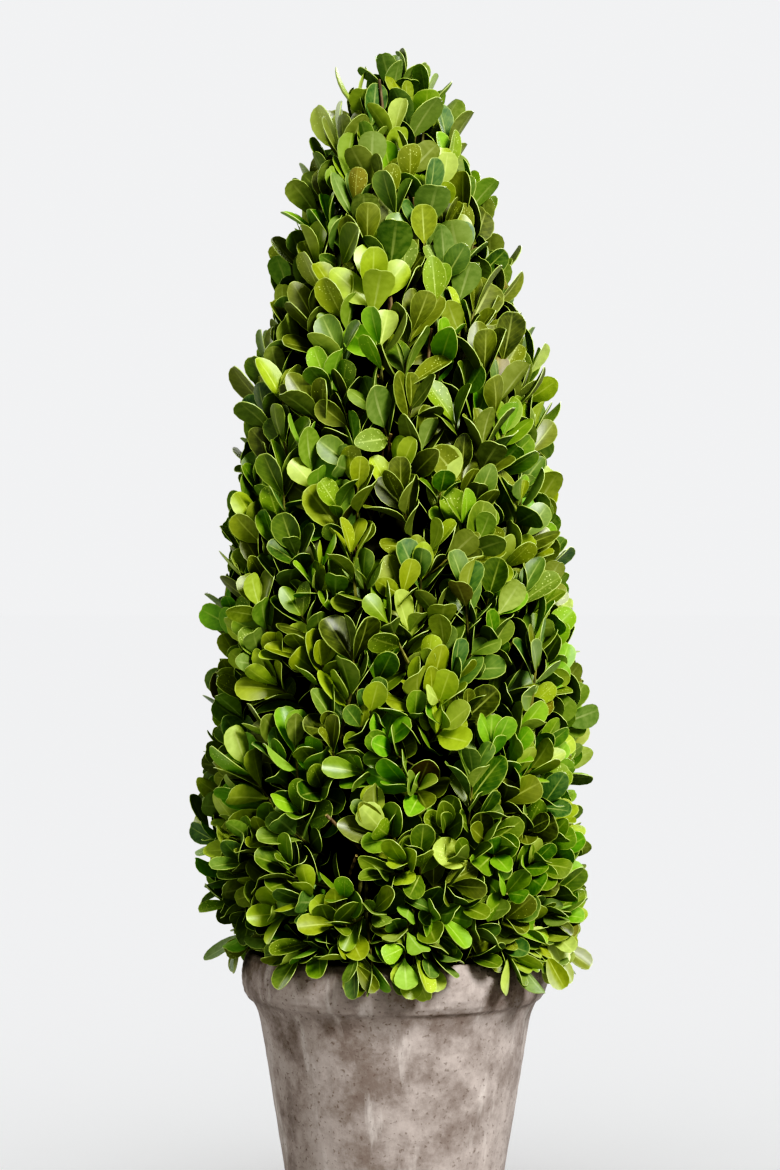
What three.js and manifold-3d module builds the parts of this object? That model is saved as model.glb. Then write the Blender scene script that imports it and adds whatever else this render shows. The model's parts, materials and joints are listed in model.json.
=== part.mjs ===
// Boxwood cone topiary in a round clay pot.
// A clipped, bullet-shaped crown of small oval leaves stands on a pot with a rolled rim. Its short sprigs grow out
// of a slimmer core all round: they hang over the rim at the foot, point outwards at the belly and climb steeply
// near the tip.
// Millimetres, +Z up. The origin is the centre of the pot's flat underside, and the pot stands on Z = 0.
import * as THREE from "three";
import { mergeVertices } from "three/addons/utils/BufferGeometryUtils.js";
import Module from "manifold-3d";

const wasm = await Module();
wasm.setup();

const CLEAR = 0.3; // gap between pieces that touch
const SLOPE_CLEAR = 0.45; // the same, measured level where a face slopes

// Pot: thrown clay, with a rolled rim
const POT_HEIGHT = 127;
const RIM_RADIUS = 77;
const RIM_BAND = 25; // height of the rolled band
const RIM_STEP = 5; // how far the band stands proud of the wall below it
const RIM_ROUND = 4; // rounding of the band's edges
const NECK_COVE = 3; // hollow where the wall runs up under the band
const POT_FOOT_RADIUS = 53;
const FOOT_ROUND = 1.5;
const POT_FLOOR = 10;
const FLOOR_ROUND = 5; // inside, where the floor turns up into the wall
const MOUTH_RADIUS = 69;
const INNER_RADIUS = 65; // inside, behind the band
const INNER_FOOT_RADIUS = 44;
const POT_SIDES = 40;

// Potting: what fills the pot, up to a little under the rim
const FILL_TOP = POT_HEIGHT - 8;
const FILL_DIP = 3; // the surface falls by this towards the pot's wall
const FILL_LEVEL_RADIUS = 55; // level inside this

// Crown: the surface that the leaf tips reach
const BELLY_RADIUS = 97.5;
const BELLY_HEIGHT = POT_HEIGHT + 59;
const TIP_HEIGHT = BELLY_HEIGHT + 391.5;
const TAPER_POWER = 0.6; // 0.5 is an ellipse, 1 a pointed arch
const CROWN_FOOT_HEIGHT = POT_HEIGHT - 1;
const FOOT_TUCK = 12; // how far the crown draws in from the belly to its foot
const TUCK_POWER = 2.5;

// Core: the dense inner mass that the sprigs stand out of
const CORE_RADIUS = 64;
const CORE_TIP_HEIGHT = BELLY_HEIGHT + 352;
const CORE_FOOT_RADIUS = 50;
const CORE_SIDES = 12;
const CORE_RINGS = 7;

// Stem: short, inside the crown's foot
const STEM_HEIGHT = 48;
const STEM_FOOT_RADIUS = 13;
const STEM_TIP_RADIUS = 6.5;
const STEM_LEAN = [2.5, -1.5]; // how far its top stands aside, along X and Y
const STEM_SIDES = 15;
const STEM_RINGS = 7;
const ROOT_RIBS = 5;
const RIB_DEPTH = 0.16; // of the stem's radius, at its foot

// Sprigs: four-sided twigs, because boxwood leaves stand in crossed pairs, here two pairs close together
const SPRIG_COUNT = 160;
const SKIRT_COUNT = 16; // more of them in a ring, which hang over the pot's rim
const SKIRT_RISE = 3; // height of the ring above the crown's foot
const TIP_DENSITY = 0.5; // extra share of sprigs per area at the tip, where they lie flatter
const GOLDEN_ANGLE = Math.PI * (3 - Math.sqrt(5));
const TWIG_RADIUS = 1.7;
const TWIG_SINK = 22; // how deep in the core a twig starts, from a point
const LEAF_BASE = 3; // height of a leaf's base, along the twig
const SPRIG_TRIES = 12;

// Leaves, larger than life
const LEAF_LENGTH = 34;
const LEAF_WIDTH = 21.5;
const LEAF_THICK = 1.3;
const LEAF_CUP = 1.8; // how far the sides rise above the middle
const LEAF_WIDEST = 0.63; // where the blade is widest, along its length
const PAIR_SPREADS = [56, 36]; // degrees from the twig, of the outer and the inner pair
const LEAF_TRIES = 20;
const SPRIG_REACH = LEAF_LENGTH * 2.6; // sprigs whose ends are further apart than this can't meet
const TOUCH = 1e-4; // cubic millimetres that neighbouring leaves may share where they leave the twig

const SEED = 20731;
const CLAY = 0x8d7f74;
const POTTING = 0x4a3c2c;
const BARK = 0x6d5a41;
const LEAF_GREEN = 0x5a7f24;

const { degToRad: radians, clamp } = THREE.MathUtils;
const UP = new THREE.Vector3(0, 0, 1);
const SIDEWAYS = new THREE.Vector3(1, 0, 0);

// Seeded random numbers from 0 to 1, the same on every run.
function randomFrom(seed) {
  let state = seed >>> 0;
  return () => {
    state = (state + 0x6d2b79f5) >>> 0;
    let mixed = state;
    mixed = Math.imul(mixed ^ (mixed >>> 15), mixed | 1);
    mixed ^= mixed + Math.imul(mixed ^ (mixed >>> 7), mixed | 61);
    return ((mixed ^ (mixed >>> 14)) >>> 0) / 2 ** 32;
  };
}

const random = randomFrom(SEED);
const spread = (width) => (random() * 2 - 1) * width;

// Radius of a bullet shape at height z: round at the belly, tapering to a blunt tip.
function bullet(z, radius, tipHeight) {
  const share = clamp((z - BELLY_HEIGHT) / (tipHeight - BELLY_HEIGHT), 0, 1);
  return radius * (1 - share * share) ** TAPER_POWER;
}

// The crown's outer radius, drawn in again under the belly.
function crownRadius(z) {
  const below = clamp((BELLY_HEIGHT - z) / (BELLY_HEIGHT - CROWN_FOOT_HEIGHT), 0, 1);
  return bullet(z, BELLY_RADIUS, TIP_HEIGHT) - FOOT_TUCK * below ** TUCK_POWER;
}

function coreRadius(z) {
  const below = clamp((BELLY_HEIGHT - z) / (BELLY_HEIGHT - FILL_TOP), 0, 1);
  return bullet(z, CORE_RADIUS, CORE_TIP_HEIGHT) - (CORE_RADIUS - CORE_FOOT_RADIUS) * below;
}

// How steeply sprigs climb, in degrees above level, at some heights on the crown.
const TILTS = [
  { z: CROWN_FOOT_HEIGHT, tilt: -24 },
  { z: POT_HEIGHT + 20, tilt: -6 },
  { z: BELLY_HEIGHT, tilt: 12 },
  { z: BELLY_HEIGHT + 75, tilt: 32 },
  { z: BELLY_HEIGHT + 195, tilt: 48 },
  { z: BELLY_HEIGHT + 315, tilt: 64 },
  { z: TIP_HEIGHT, tilt: 88 },
];

function sprigTilt(z) {
  const above = clamp(TILTS.findIndex((point) => point.z >= z), 1, TILTS.length - 1);
  const [from, to] = [TILTS[above - 1], TILTS[above]];
  return from.tilt + ((to.tilt - from.tilt) * (z - from.z)) / (to.z - from.z);
}

// A closed turned shape from its profile of [radius, height] points.
function turned(points, sides) {
  const profile = points.map(([r, z]) => new THREE.Vector2(r, z));
  return new THREE.LatheGeometry(profile, sides).rotateX(Math.PI / 2);
}

// A three.js geometry as a solid that can be joined and cut.
function solidOf(geometry) {
  const bare = new THREE.BufferGeometry().setAttribute("position", geometry.getAttribute("position"));
  bare.setIndex(geometry.index);
  const merged = mergeVertices(bare, 1e-3);
  const vertProperties = new Float32Array(merged.attributes.position.array);
  const triVerts = new Uint32Array(merged.index.array);
  return new wasm.Manifold(new wasm.Mesh({ numProp: 3, vertProperties, triVerts }));
}

function geometryOf(solid) {
  const { vertProperties, triVerts } = solid.getMesh();
  return new THREE.BufferGeometry()
    .setAttribute("position", new THREE.BufferAttribute(new Float32Array(vertProperties), 3))
    .setIndex(new THREE.BufferAttribute(new Uint32Array(triVerts), 1));
}

function geometryFrom(points, faces) {
  return new THREE.BufferGeometry().setFromPoints(points).setIndex(faces.flat());
}

// The pot's outside and inside meet at the rolled rim. grow swells the wall evenly, for a keep-out shape.
function pot(grow = 0) {
  const bandFoot = POT_HEIGHT - RIM_BAND;
  const neck = RIM_RADIUS - RIM_STEP;
  const profile = [
    [0, -grow],
    [POT_FOOT_RADIUS - FOOT_ROUND + grow, -grow],
    [POT_FOOT_RADIUS + grow, FOOT_ROUND],
    [neck - NECK_COVE + grow, bandFoot - RIM_ROUND],
    [neck - NECK_COVE / 3 + grow, bandFoot - grow],
    [RIM_RADIUS - RIM_ROUND / 2 + grow, bandFoot + RIM_ROUND - grow],
    [RIM_RADIUS + grow, POT_HEIGHT - RIM_BAND / 2],
    [RIM_RADIUS - RIM_ROUND / 4 + grow, POT_HEIGHT - RIM_ROUND],
    [RIM_RADIUS - RIM_ROUND, POT_HEIGHT + grow],
    [MOUTH_RADIUS + FOOT_ROUND, POT_HEIGHT + grow],
    [MOUTH_RADIUS - grow, POT_HEIGHT - RIM_ROUND],
    [INNER_RADIUS - grow, bandFoot],
    [INNER_FOOT_RADIUS - grow, POT_FLOOR + FLOOR_ROUND],
    [INNER_FOOT_RADIUS - FLOOR_ROUND, POT_FLOOR + grow],
    [0, POT_FLOOR + grow],
  ];
  return turned(profile, POT_SIDES);
}

// The filling keeps clear of the pot's inside, and its surface falls a little towards the wall.
function potting() {
  const edge = FILL_TOP - FILL_DIP;
  const bandFoot = POT_HEIGHT - RIM_BAND;
  const share = (edge - bandFoot) / (POT_HEIGHT - RIM_ROUND - bandFoot);
  const profile = [
    [0, POT_FLOOR + CLEAR],
    [INNER_FOOT_RADIUS - FLOOR_ROUND - CLEAR, POT_FLOOR + CLEAR],
    [INNER_FOOT_RADIUS - CLEAR, POT_FLOOR + FLOOR_ROUND + CLEAR],
    [INNER_RADIUS - CLEAR, bandFoot],
    [INNER_RADIUS - CLEAR + (MOUTH_RADIUS - INNER_RADIUS) * share, edge],
    [FILL_LEVEL_RADIUS, FILL_TOP],
    [0, FILL_TOP],
  ];
  return turned(profile, POT_SIDES);
}

// The stem leans a little and has root ribs at its foot. grow gives the hole in the core that it stands in.
function stem(grow = 0) {
  const rings = Array.from({ length: STEM_RINGS }, (_, ring) => {
    const share = ring / (STEM_RINGS - 1);
    const flare = (1 - share) ** 4;
    const slim = STEM_TIP_RADIUS + 2 * (1 - share);
    const radius = slim + (STEM_FOOT_RADIUS - slim) * flare + grow;
    return { share, flare, radius, z: FILL_TOP + CLEAR + share * STEM_HEIGHT };
  });
  if (grow > 0) {
    rings.at(-1).z += grow;
    rings.unshift({ ...rings[0], z: FILL_TOP - grow });
  }
  const points = rings.flatMap(({ share, flare, radius, z }) =>
    Array.from({ length: STEM_SIDES }, (_, side) => {
      const angle = (2 * Math.PI * side) / STEM_SIDES;
      const ribbed = radius + STEM_FOOT_RADIUS * RIB_DEPTH * flare * Math.cos(ROOT_RIBS * angle);
      const x = STEM_LEAN[0] * share + ribbed * Math.cos(angle);
      const y = STEM_LEAN[1] * share + ribbed * Math.sin(angle);
      return new THREE.Vector3(x, y, z);
    }),
  );
  const faces = [];
  const at = (ring, side) => ring * STEM_SIDES + (side % STEM_SIDES);
  const top = rings.length - 1;
  for (let side = 0; side < STEM_SIDES; side++) {
    for (let ring = 0; ring < top; ring++) {
      faces.push([at(ring, side), at(ring, side + 1), at(ring + 1, side + 1)]);
      faces.push([at(ring, side), at(ring + 1, side + 1), at(ring + 1, side)]);
    }
    if (side > 0 && side < STEM_SIDES - 1) {
      faces.push([at(0, 0), at(0, side + 1), at(0, side)]);
      faces.push([at(top, 0), at(top, side), at(top, side + 1)]);
    }
  }
  return geometryFrom(points, faces);
}

// The core stands flat on the potting, round the stem.
function core() {
  const foot = FILL_TOP + CLEAR;
  const profile = [[0, foot]];
  for (let ring = 0; ring < CORE_RINGS; ring++) {
    const z = foot + ((CORE_TIP_HEIGHT - foot) * ring) / CORE_RINGS;
    profile.push([coreRadius(z), z]);
  }
  profile.push([0, CORE_TIP_HEIGHT]);
  return solidOf(turned(profile, CORE_SIDES)).subtract(solidOf(stem(SLOPE_CLEAR)));
}

// Heights on the crown's surface that share out its area, so that sprigs stand about equally dense all over it.
function heightsByArea(count) {
  const slices = 400;
  const slice = (TIP_HEIGHT - CROWN_FOOT_HEIGHT) / slices;
  const heights = Array.from({ length: slices + 1 }, (_, i) => CROWN_FOOT_HEIGHT + slice * i);
  const radii = heights.map(crownRadius);
  const area = [0];
  for (let i = 1; i <= slices; i++) {
    const share = clamp((heights[i] - BELLY_HEIGHT) / (TIP_HEIGHT - BELLY_HEIGHT), 0, 1);
    const width = (radii[i] + radii[i - 1]) * (1 + TIP_DENSITY * share ** 2);
    area.push(area[i - 1] + width * Math.hypot(slice, radii[i] - radii[i - 1]));
  }
  return Array.from({ length: count }, (_, i) => {
    const wanted = (area[slices] * (i + 0.5)) / count;
    const next = area.findIndex((sum) => sum >= wanted);
    return heights[next - 1] + (slice * (wanted - area[next - 1])) / (area[next] - area[next - 1]);
  });
}

// Steps back along a sprig until it is well inside the core. Gives nothing if it misses the core.
function footInCore(end, along) {
  const longest = BELLY_RADIUS * 1.5;
  for (let back = 0; back < longest; back++) {
    const point = end.clone().addScaledVector(along, -back);
    const within = Math.hypot(point.x, point.y) < coreRadius(point.z) - TWIG_SINK;
    if (within && point.z > FILL_TOP + TWIG_SINK && point.z < CORE_TIP_HEIGHT - TWIG_SINK) return point;
  }
  return undefined;
}

// A sprig's own frame: the way it grows, and the four sides that leaves may stand on.
function sprigFrame(end, along) {
  const aside = Math.abs(along.z) > 0.95 ? SIDEWAYS : UP;
  const across = new THREE.Vector3().crossVectors(along, aside).normalize().applyAxisAngle(along, spread(Math.PI));
  const sides = [0, 1, 2, 3].map((i) => across.clone().applyAxisAngle(along, (i * Math.PI) / 2));
  return { end, along, sides };
}

// A leaf's outer points, growing from one side of a twig. Each attempt strays a little further from the ideal place.
function leafPoints(frame, side, attempt) {
  const stray = 1 + attempt / 5;
  const out = frame.sides[side].clone().applyAxisAngle(frame.along, radians(spread(7 * stray)));
  const angle = radians(PAIR_SPREADS[side % 2] + spread(6 * stray));
  const way = frame.along.clone().multiplyScalar(Math.cos(angle)).addScaledVector(out, Math.sin(angle));
  const face = frame.along.clone().multiplyScalar(Math.sin(angle)).addScaledVector(out, -Math.cos(angle));
  face.applyAxisAngle(way, radians(spread(13 * stray)));
  const across = new THREE.Vector3().crossVectors(face, way);
  const size = 1 + spread(0.1) - 0.05 * (stray - 1);
  const base = frame.end.clone().addScaledVector(frame.along, -LEAF_BASE / 2);
  const at = (length, aside, rise) =>
    base
      .clone()
      .addScaledVector(way, length * size)
      .addScaledVector(across, aside * size)
      .addScaledVector(face, rise * size);
  const widest = LEAF_LENGTH * LEAF_WIDEST;
  return {
    left: at(widest, -LEAF_WIDTH / 2, LEAF_CUP),
    right: at(widest, LEAF_WIDTH / 2, LEAF_CUP),
    tip: at(LEAF_LENGTH, 0, 0),
    low: at(widest * 0.9, 0, -LEAF_THICK / 2),
    high: at(widest * 0.9, 0, LEAF_THICK / 2),
  };
}

// A twig and its leaves as one closed shape. Each leaf grows out of one side of the twig's end.
function sprigGeometry(frame, foot, leaves) {
  const ring = (height) =>
    frame.sides.map((side) => {
      const corner = side.clone().applyAxisAngle(frame.along, Math.PI / 4);
      return frame.end.clone().addScaledVector(frame.along, height).addScaledVector(corner, TWIG_RADIUS);
    });
  const points = [...ring(-LEAF_BASE), ...ring(0), foot];
  const faces = [[4, 5, 6], [4, 6, 7]];
  for (let side = 0; side < 4; side++) {
    const [a, b] = [(side + 3) % 4, side];
    const [d, c] = [a + 4, b + 4];
    faces.push([8, b, a]);
    const leaf = leaves[side];
    if (!leaf) {
      faces.push([a, b, c], [a, c, d]);
      continue;
    }
    const [left, right, tip, low, high] = [0, 1, 2, 3, 4].map((i) => points.length + i);
    points.push(leaf.left, leaf.right, leaf.tip, leaf.low, leaf.high);
    const upper = [c, d, left, tip, right];
    const under = [a, b, right, tip, left];
    upper.forEach((point, i) => faces.push([high, point, upper[(i + 1) % upper.length]]));
    under.forEach((point, i) => faces.push([low, point, under[(i + 1) % under.length]]));
    faces.push([a, left, d], [b, c, right]);
  }
  return geometryFrom(points, faces);
}

function direction(heading, tilt) {
  return new THREE.Vector3(Math.cos(heading) * Math.cos(tilt), Math.sin(heading) * Math.cos(tilt), Math.sin(tilt));
}

// The space that the crown stays out of: the pot with a little room round it, and all that is in its mouth.
function potZone() {
  const top = FILL_TOP + CLEAR;
  const plug = turned([[0, POT_FLOOR], [MOUTH_RADIUS, POT_FLOOR], [MOUTH_RADIUS, top], [0, top]], POT_SIDES);
  return solidOf(pot(SLOPE_CLEAR)).add(solidOf(plug));
}

// Joins sprigs to the core: one at the tip, a skirt that hangs over the rim, and an even spiral over the whole crown.
// A sprig or leaf that finds no free place is left off.
function crown() {
  const coreSolid = core();
  const zone = potZone();
  const sprigs = [];
  const meets = (one, other) => !one.intersect(other).isEmpty();
  const isNear = (sprig, point) => sprig.end.distanceTo(point) < SPRIG_REACH;
  const isFree = (solid, end) => {
    return !meets(solid, zone) && !sprigs.some((sprig) => isNear(sprig, end) && meets(sprig.solid, solid));
  };

  const growLeaf = (frame, foot, twig, side, grown) => {
    for (let attempt = 0; attempt < LEAF_TRIES; attempt++) {
      const leaves = [];
      leaves[side] = leafPoints(frame, side, attempt);
      const blade = solidOf(sprigGeometry(frame, foot, leaves)).subtract(twig);
      const crossed = grown.some((other) => blade.intersect(other).volume() > TOUCH);
      if (crossed || meets(blade, coreSolid) || !isFree(blade, frame.end)) continue;
      grown.push(blade);
      return leaves[side];
    }
    return undefined;
  };

  const growSprig = (z, azimuth) => {
    for (let attempt = 0; attempt < SPRIG_TRIES; attempt++) {
      const atTip = z === TIP_HEIGHT;
      const tilt = atTip ? Math.PI / 2 : radians(sprigTilt(z) + spread(6 + attempt));
      const along = direction(azimuth + radians(spread(7 + attempt)), tilt);
      const outermost = direction(azimuth, 0).multiplyScalar(atTip ? 0 : crownRadius(z) + spread(2)).setZ(z);
      const end = outermost.addScaledVector(along, -LEAF_LENGTH * Math.cos(radians(PAIR_SPREADS[1])));
      const foot = footInCore(end, along);
      if (!foot) continue;
      const frame = sprigFrame(end, along);
      const twig = solidOf(sprigGeometry(frame, foot, []));
      if (!isFree(twig, end)) continue;
      const grown = [];
      const leaves = frame.sides.map((_, side) => growLeaf(frame, foot, twig, side, grown));
      sprigs.push({ solid: solidOf(sprigGeometry(frame, foot, leaves)), end });
      return;
    }
  };

  growSprig(TIP_HEIGHT, 0);
  for (let i = 0; i < SKIRT_COUNT; i++) growSprig(CROWN_FOOT_HEIGHT + SKIRT_RISE, (2 * Math.PI * i) / SKIRT_COUNT);
  heightsByArea(SPRIG_COUNT).forEach((z, i) => growSprig(z, i * GOLDEN_ANGLE));
  return sprigs.reduce((whole, sprig) => whole.add(sprig.solid), coreSolid);
}

const group = new THREE.Group();

function add(name, geometry, color, roughness) {
  const mesh = new THREE.Mesh(geometry, new THREE.MeshStandardMaterial({ color, roughness, metalness: 0 }));
  mesh.name = name;
  group.add(mesh);
}

add("pot", pot(), CLAY, 0.9);
add("pot_filling", potting(), POTTING, 1);
add("stem", stem(), BARK, 0.85);
add("crown", geometryOf(crown()), LEAF_GREEN, 0.45);

export default group;
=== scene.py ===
# %% [markdown]
# # A clipped boxwood cone in a clay pot
# The plant is a boxwood that has been clipped to a tall, bullet-shaped cone. Thousands of small oval
# leaves stand on short sprigs all round a dense middle, and the lowest ones hang over the rim of a
# weathered clay pot. The frame brings in the plain solids. This lesson dresses them: the pot gets turned
# and worn, and the crown is grown again from the same rule with leaves of their true size.

import bpy
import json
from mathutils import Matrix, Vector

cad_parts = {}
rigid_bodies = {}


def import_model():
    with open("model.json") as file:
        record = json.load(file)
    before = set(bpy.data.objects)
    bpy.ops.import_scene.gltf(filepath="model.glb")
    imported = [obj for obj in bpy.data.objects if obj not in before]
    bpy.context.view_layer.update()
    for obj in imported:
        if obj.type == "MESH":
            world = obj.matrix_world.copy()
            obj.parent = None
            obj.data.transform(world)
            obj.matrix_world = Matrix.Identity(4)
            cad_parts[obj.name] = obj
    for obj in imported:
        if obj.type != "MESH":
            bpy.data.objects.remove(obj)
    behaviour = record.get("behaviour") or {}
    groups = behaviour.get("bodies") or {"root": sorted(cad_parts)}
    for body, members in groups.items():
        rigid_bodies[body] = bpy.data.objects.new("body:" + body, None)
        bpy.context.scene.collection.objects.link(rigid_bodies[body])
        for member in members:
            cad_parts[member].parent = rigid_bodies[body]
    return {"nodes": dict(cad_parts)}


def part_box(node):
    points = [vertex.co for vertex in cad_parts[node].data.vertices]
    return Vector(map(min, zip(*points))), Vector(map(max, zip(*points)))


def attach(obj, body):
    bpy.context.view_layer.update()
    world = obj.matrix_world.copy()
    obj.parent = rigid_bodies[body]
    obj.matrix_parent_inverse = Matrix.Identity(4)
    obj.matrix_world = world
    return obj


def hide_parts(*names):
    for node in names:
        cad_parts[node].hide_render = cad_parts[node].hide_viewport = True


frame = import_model()
bpy.context.view_layer.update()

# %% [markdown]
# ## Tools
# A plant is measured in millimetres and Blender works in metres, so one value turns the first into the
# second. Heights that the solids already fix are read from the frame, so that each new piece fits its
# solid. All chance comes from one seeded generator, so every run grows the same plant. An operator acts
# on all that is selected, and loading leaves the solids selected, so a helper clears the selection.

# %% Tools
import json
import math

import numpy as np
from mathutils import Vector, noise
from mathutils.bvhtree import BVHTree

MM = 0.001
rng = np.random.default_rng(20731)


def deselect():
    """Leaves edit mode and selects nothing."""
    if bpy.context.object and bpy.context.object.mode != "OBJECT":
        bpy.ops.object.mode_set(mode="OBJECT")
    bpy.ops.object.select_all(action="DESELECT")


def select_only(piece):
    deselect()
    bpy.context.view_layer.objects.active = piece
    piece.select_set(True)


def heights_of(node):
    """The heights in mm of a solid's lowest and highest corners."""
    return [round(corner[2] / MM, 1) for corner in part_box(node)]


deselect()
for node in frame["nodes"]:
    print(node, "has its foot and top at", heights_of(node), "mm")

# %% [markdown]
# ## The camera
# The photograph looks straight at the crown from about a metre and a half, with a long lens, so upright
# lines stay upright. Half a millimetre of the plant covers one pixel of the picture, and the plant's axis
# stands a hair right of the middle.

# %% Camera
PHOTO_HEIGHT = 1170
MM_PER_PIXEL = 0.5
LOOK_HEIGHT = 308.5
CAMERA_DISTANCE = 1550
AXIS_OFFSET = 2.5

bpy.ops.object.camera_add(
    location=(-AXIS_OFFSET * MM, -CAMERA_DISTANCE * MM, LOOK_HEIGHT * MM), rotation=(math.radians(90), 0, 0)
)
camera = bpy.context.object
camera.name = "camera"
camera.data.sensor_width = 36
camera.data.lens = camera.data.sensor_width * CAMERA_DISTANCE / (PHOTO_HEIGHT * MM_PER_PIXEL)
bpy.context.scene.camera = camera
print("lens", round(camera.data.lens, 1), "mm")

# %% [markdown]
# ## The lamps
# One soft light hangs high on the right, where the leaves of the picture are brightest. One behind draws
# a bright edge along the crown, and a weak one lights the far side, which the picture doesn't show. They
# light the plant alone, so the floor keeps no glare: each lamp is linked to a collection that every
# finished piece joins.

# %% Lamps
CROWN_MIDDLE = Vector((0, 0, 0.33))
lit_pieces = bpy.data.collections.new("lit_pieces")
bpy.context.scene.collection.children.link(lit_pieces)


def softbox(name, place, size, power):
    """A square area light turned to the crown's middle. The camera doesn't see the lamp itself."""
    bpy.ops.object.light_add(type="AREA", location=place)
    lamp = bpy.context.object
    lamp.name = name
    lamp.data.size = size
    lamp.data.energy = power
    lamp.rotation_euler = (CROWN_MIDDLE - Vector(place)).to_track_quat("-Z", "Y").to_euler()
    lamp.visible_camera = False
    lamp.light_linking.receiver_collection = lit_pieces
    print(name, "lamp,", power, "W over", size, "m")


softbox("key", (1.4, -2.25, 1.95), 0.9, 250)
softbox("back", (0.9, 1.4, 1.3), 0.9, 40)
softbox("side", (-1.7, 1.2, 1.2), 1.2, 24)

# %% [markdown]
# ## The surround and the tone
# The picture's background is a seamless pale grey, so an even surround of that grey lights the floor as
# well. The picture is also crisp: its shadows sink to black and its bright leaves stay bright. A gentle
# S-curve in the view settings does the same, the way a photographer sets the contrast when a picture is
# developed.

# %% Surround and tone
world = bpy.data.worlds.new("surround")
bpy.context.scene.world = world
world.use_nodes = True
world.node_tree.nodes["Background"].inputs["Color"].default_value = (0.875, 0.88, 0.89, 1)
world.node_tree.nodes["Background"].inputs["Strength"].default_value = 1.0
view = bpy.context.scene.view_settings
view.view_transform = "Standard"
view.look = "None"
view.use_curve_mapping = True
view.curve_mapping.black_level = (0.008, 0.008, 0.012)
for light, shown in ((0.045, 0.015), (0.11, 0.076), (0.24, 0.228), (0.55, 0.555), (0.87, 0.88)):
    view.curve_mapping.curves[3].points.new(light, shown)
view.curve_mapping.update()
print("tone curve with", len(view.curve_mapping.curves[3].points), "points")

# %% [markdown]
# ## Colours and nodes
# Colours are written as hex values, the way a paint chart gives them. Blender calculates in linear light,
# so one function turns them. One function adds a shader node with its settings and what is linked into
# it. A finish is built up in coats, as a painter does it: a coat lies over the colour below where some
# pattern is strong. Patterns are sized by the real thing, so a helper turns a feature's millimetres into
# the scale of a pattern.

# %% Colours
def linear(colour):
    """A colour such as "#4f7a1c" as linear red, green, blue and alpha."""
    parts = [int(colour[i : i + 2], 16) / 255 for i in (1, 3, 5)]
    return (*[p / 12.92 if p <= 0.04045 else ((p + 0.055) / 1.055) ** 2.4 for p in parts], 1)


print("mid green in linear light:", [round(c, 3) for c in linear("#3a5c0e")])


# %% Nodes and coats
def add(tree, kind, inputs=None, out=0, **settings):
    """Adds a node and returns one output. inputs gives its sockets a value or another node's output."""
    node = tree.nodes.new(kind)
    for name, value in settings.items():
        setattr(node, name, value)
    for socket, value in (inputs or {}).items():
        if isinstance(value, bpy.types.NodeSocket):
            tree.links.new(value, node.inputs[socket])
        else:
            node.inputs[socket].default_value = value
    return node.outputs[out]


def coat(tree, under, over, pattern, start, full, most=1.0):
    """Lays a colour over another, from nothing where the pattern is at start to most at full."""
    reach = {"Value": pattern, "From Min": start, "From Max": full, "To Min": 0.0, "To Max": most}
    thickness = add(tree, "ShaderNodeMapRange", reach, interpolation_type="SMOOTHSTEP")
    return add(tree, "ShaderNodeMix", {0: thickness, 6: under, 7: over}, out=2, data_type="RGBA")


def coated(tree, colour, coats):
    """A colour under a list of coats: the colour of each, its pattern, start, full and most."""
    for over, pattern, start, full, most in coats:
        colour = coat(tree, colour, over, pattern, start, full, most)
    return colour


print("a coat takes two nodes: a Map Range for its thickness and a Mix for its colour")


# %% New materials
def features(millimetres):
    """The scale at which a pattern's features are so many millimetres across."""
    return 1 / (millimetres * MM)


def new_material(name, roughness, ior=1.45, specular=0.5):
    """A material with one Principled shader: the material, its node tree and the shader's sockets."""
    material = bpy.data.materials.new(name)
    material.use_nodes = True
    sockets = material.node_tree.nodes["Principled BSDF"].inputs
    sockets["Roughness"].default_value = roughness
    sockets["IOR"].default_value = ior
    sockets["Specular IOR Level"].default_value = specular
    return material, material.node_tree, sockets


def two_tone(name, roughness, dark, light, start, full, stretch=None, **pattern):
    """A dull material whose two colours a noise deals out. stretch scales each axis, pattern the noise."""
    material, tree, sockets = new_material(name, roughness)
    place = add(tree, "ShaderNodeTexCoord", out="Object")
    if stretch:
        place = add(tree, "ShaderNodeMapping", {"Vector": place, "Scale": stretch})
    mottle = add(tree, "ShaderNodeTexNoise", {"Vector": place, **pattern})
    tree.links.new(coat(tree, linear(dark), linear(light), mottle, start, full), sockets["Base Color"])
    return material


print("features of 3 mm need a scale of", round(features(3)))

# %% [markdown]
# ## The floor
# The plant stands on a pale sweep of paper that runs out of sight. A very large disc does that. Paper is
# matt, so it gets no gloss at all, and it is white enough to melt into the surround.

# %% Floor
FLOOR_RADIUS = 30

deselect()
bpy.ops.mesh.primitive_circle_add(vertices=96, radius=FLOOR_RADIUS, fill_type="NGON", location=(0, 0, 0))
studio_floor = bpy.context.object
studio_floor.name = "studio_floor"
studio_paper, tree, sockets = new_material("studio_paper", 0.9, specular=0.0)
sockets["Base Color"].default_value = (0.99, 0.99, 0.99, 1)
studio_floor.data.materials.append(studio_paper)
print("floor of radius", FLOOR_RADIUS, "m")

# %% [markdown]
# ## Turned shapes
# A thrown pot is round because it was turned on a wheel. It can be made the same way by hand in Blender:
# start from a flat circle, then extrude its edge up and scale it, again and again, along the profile.
# Each step is a ring that later takes the wear of the surface.

# %% Extruding a circle along a profile
def arc(middle, wide, tall, start, end, steps):
    """(radius, height) pairs on an ellipse round a middle, from one angle in degrees to another."""
    turns = np.radians(np.linspace(start, end, steps))
    return [(middle[0] + wide * math.cos(t), middle[1] + tall * math.sin(t)) for t in turns]


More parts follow.
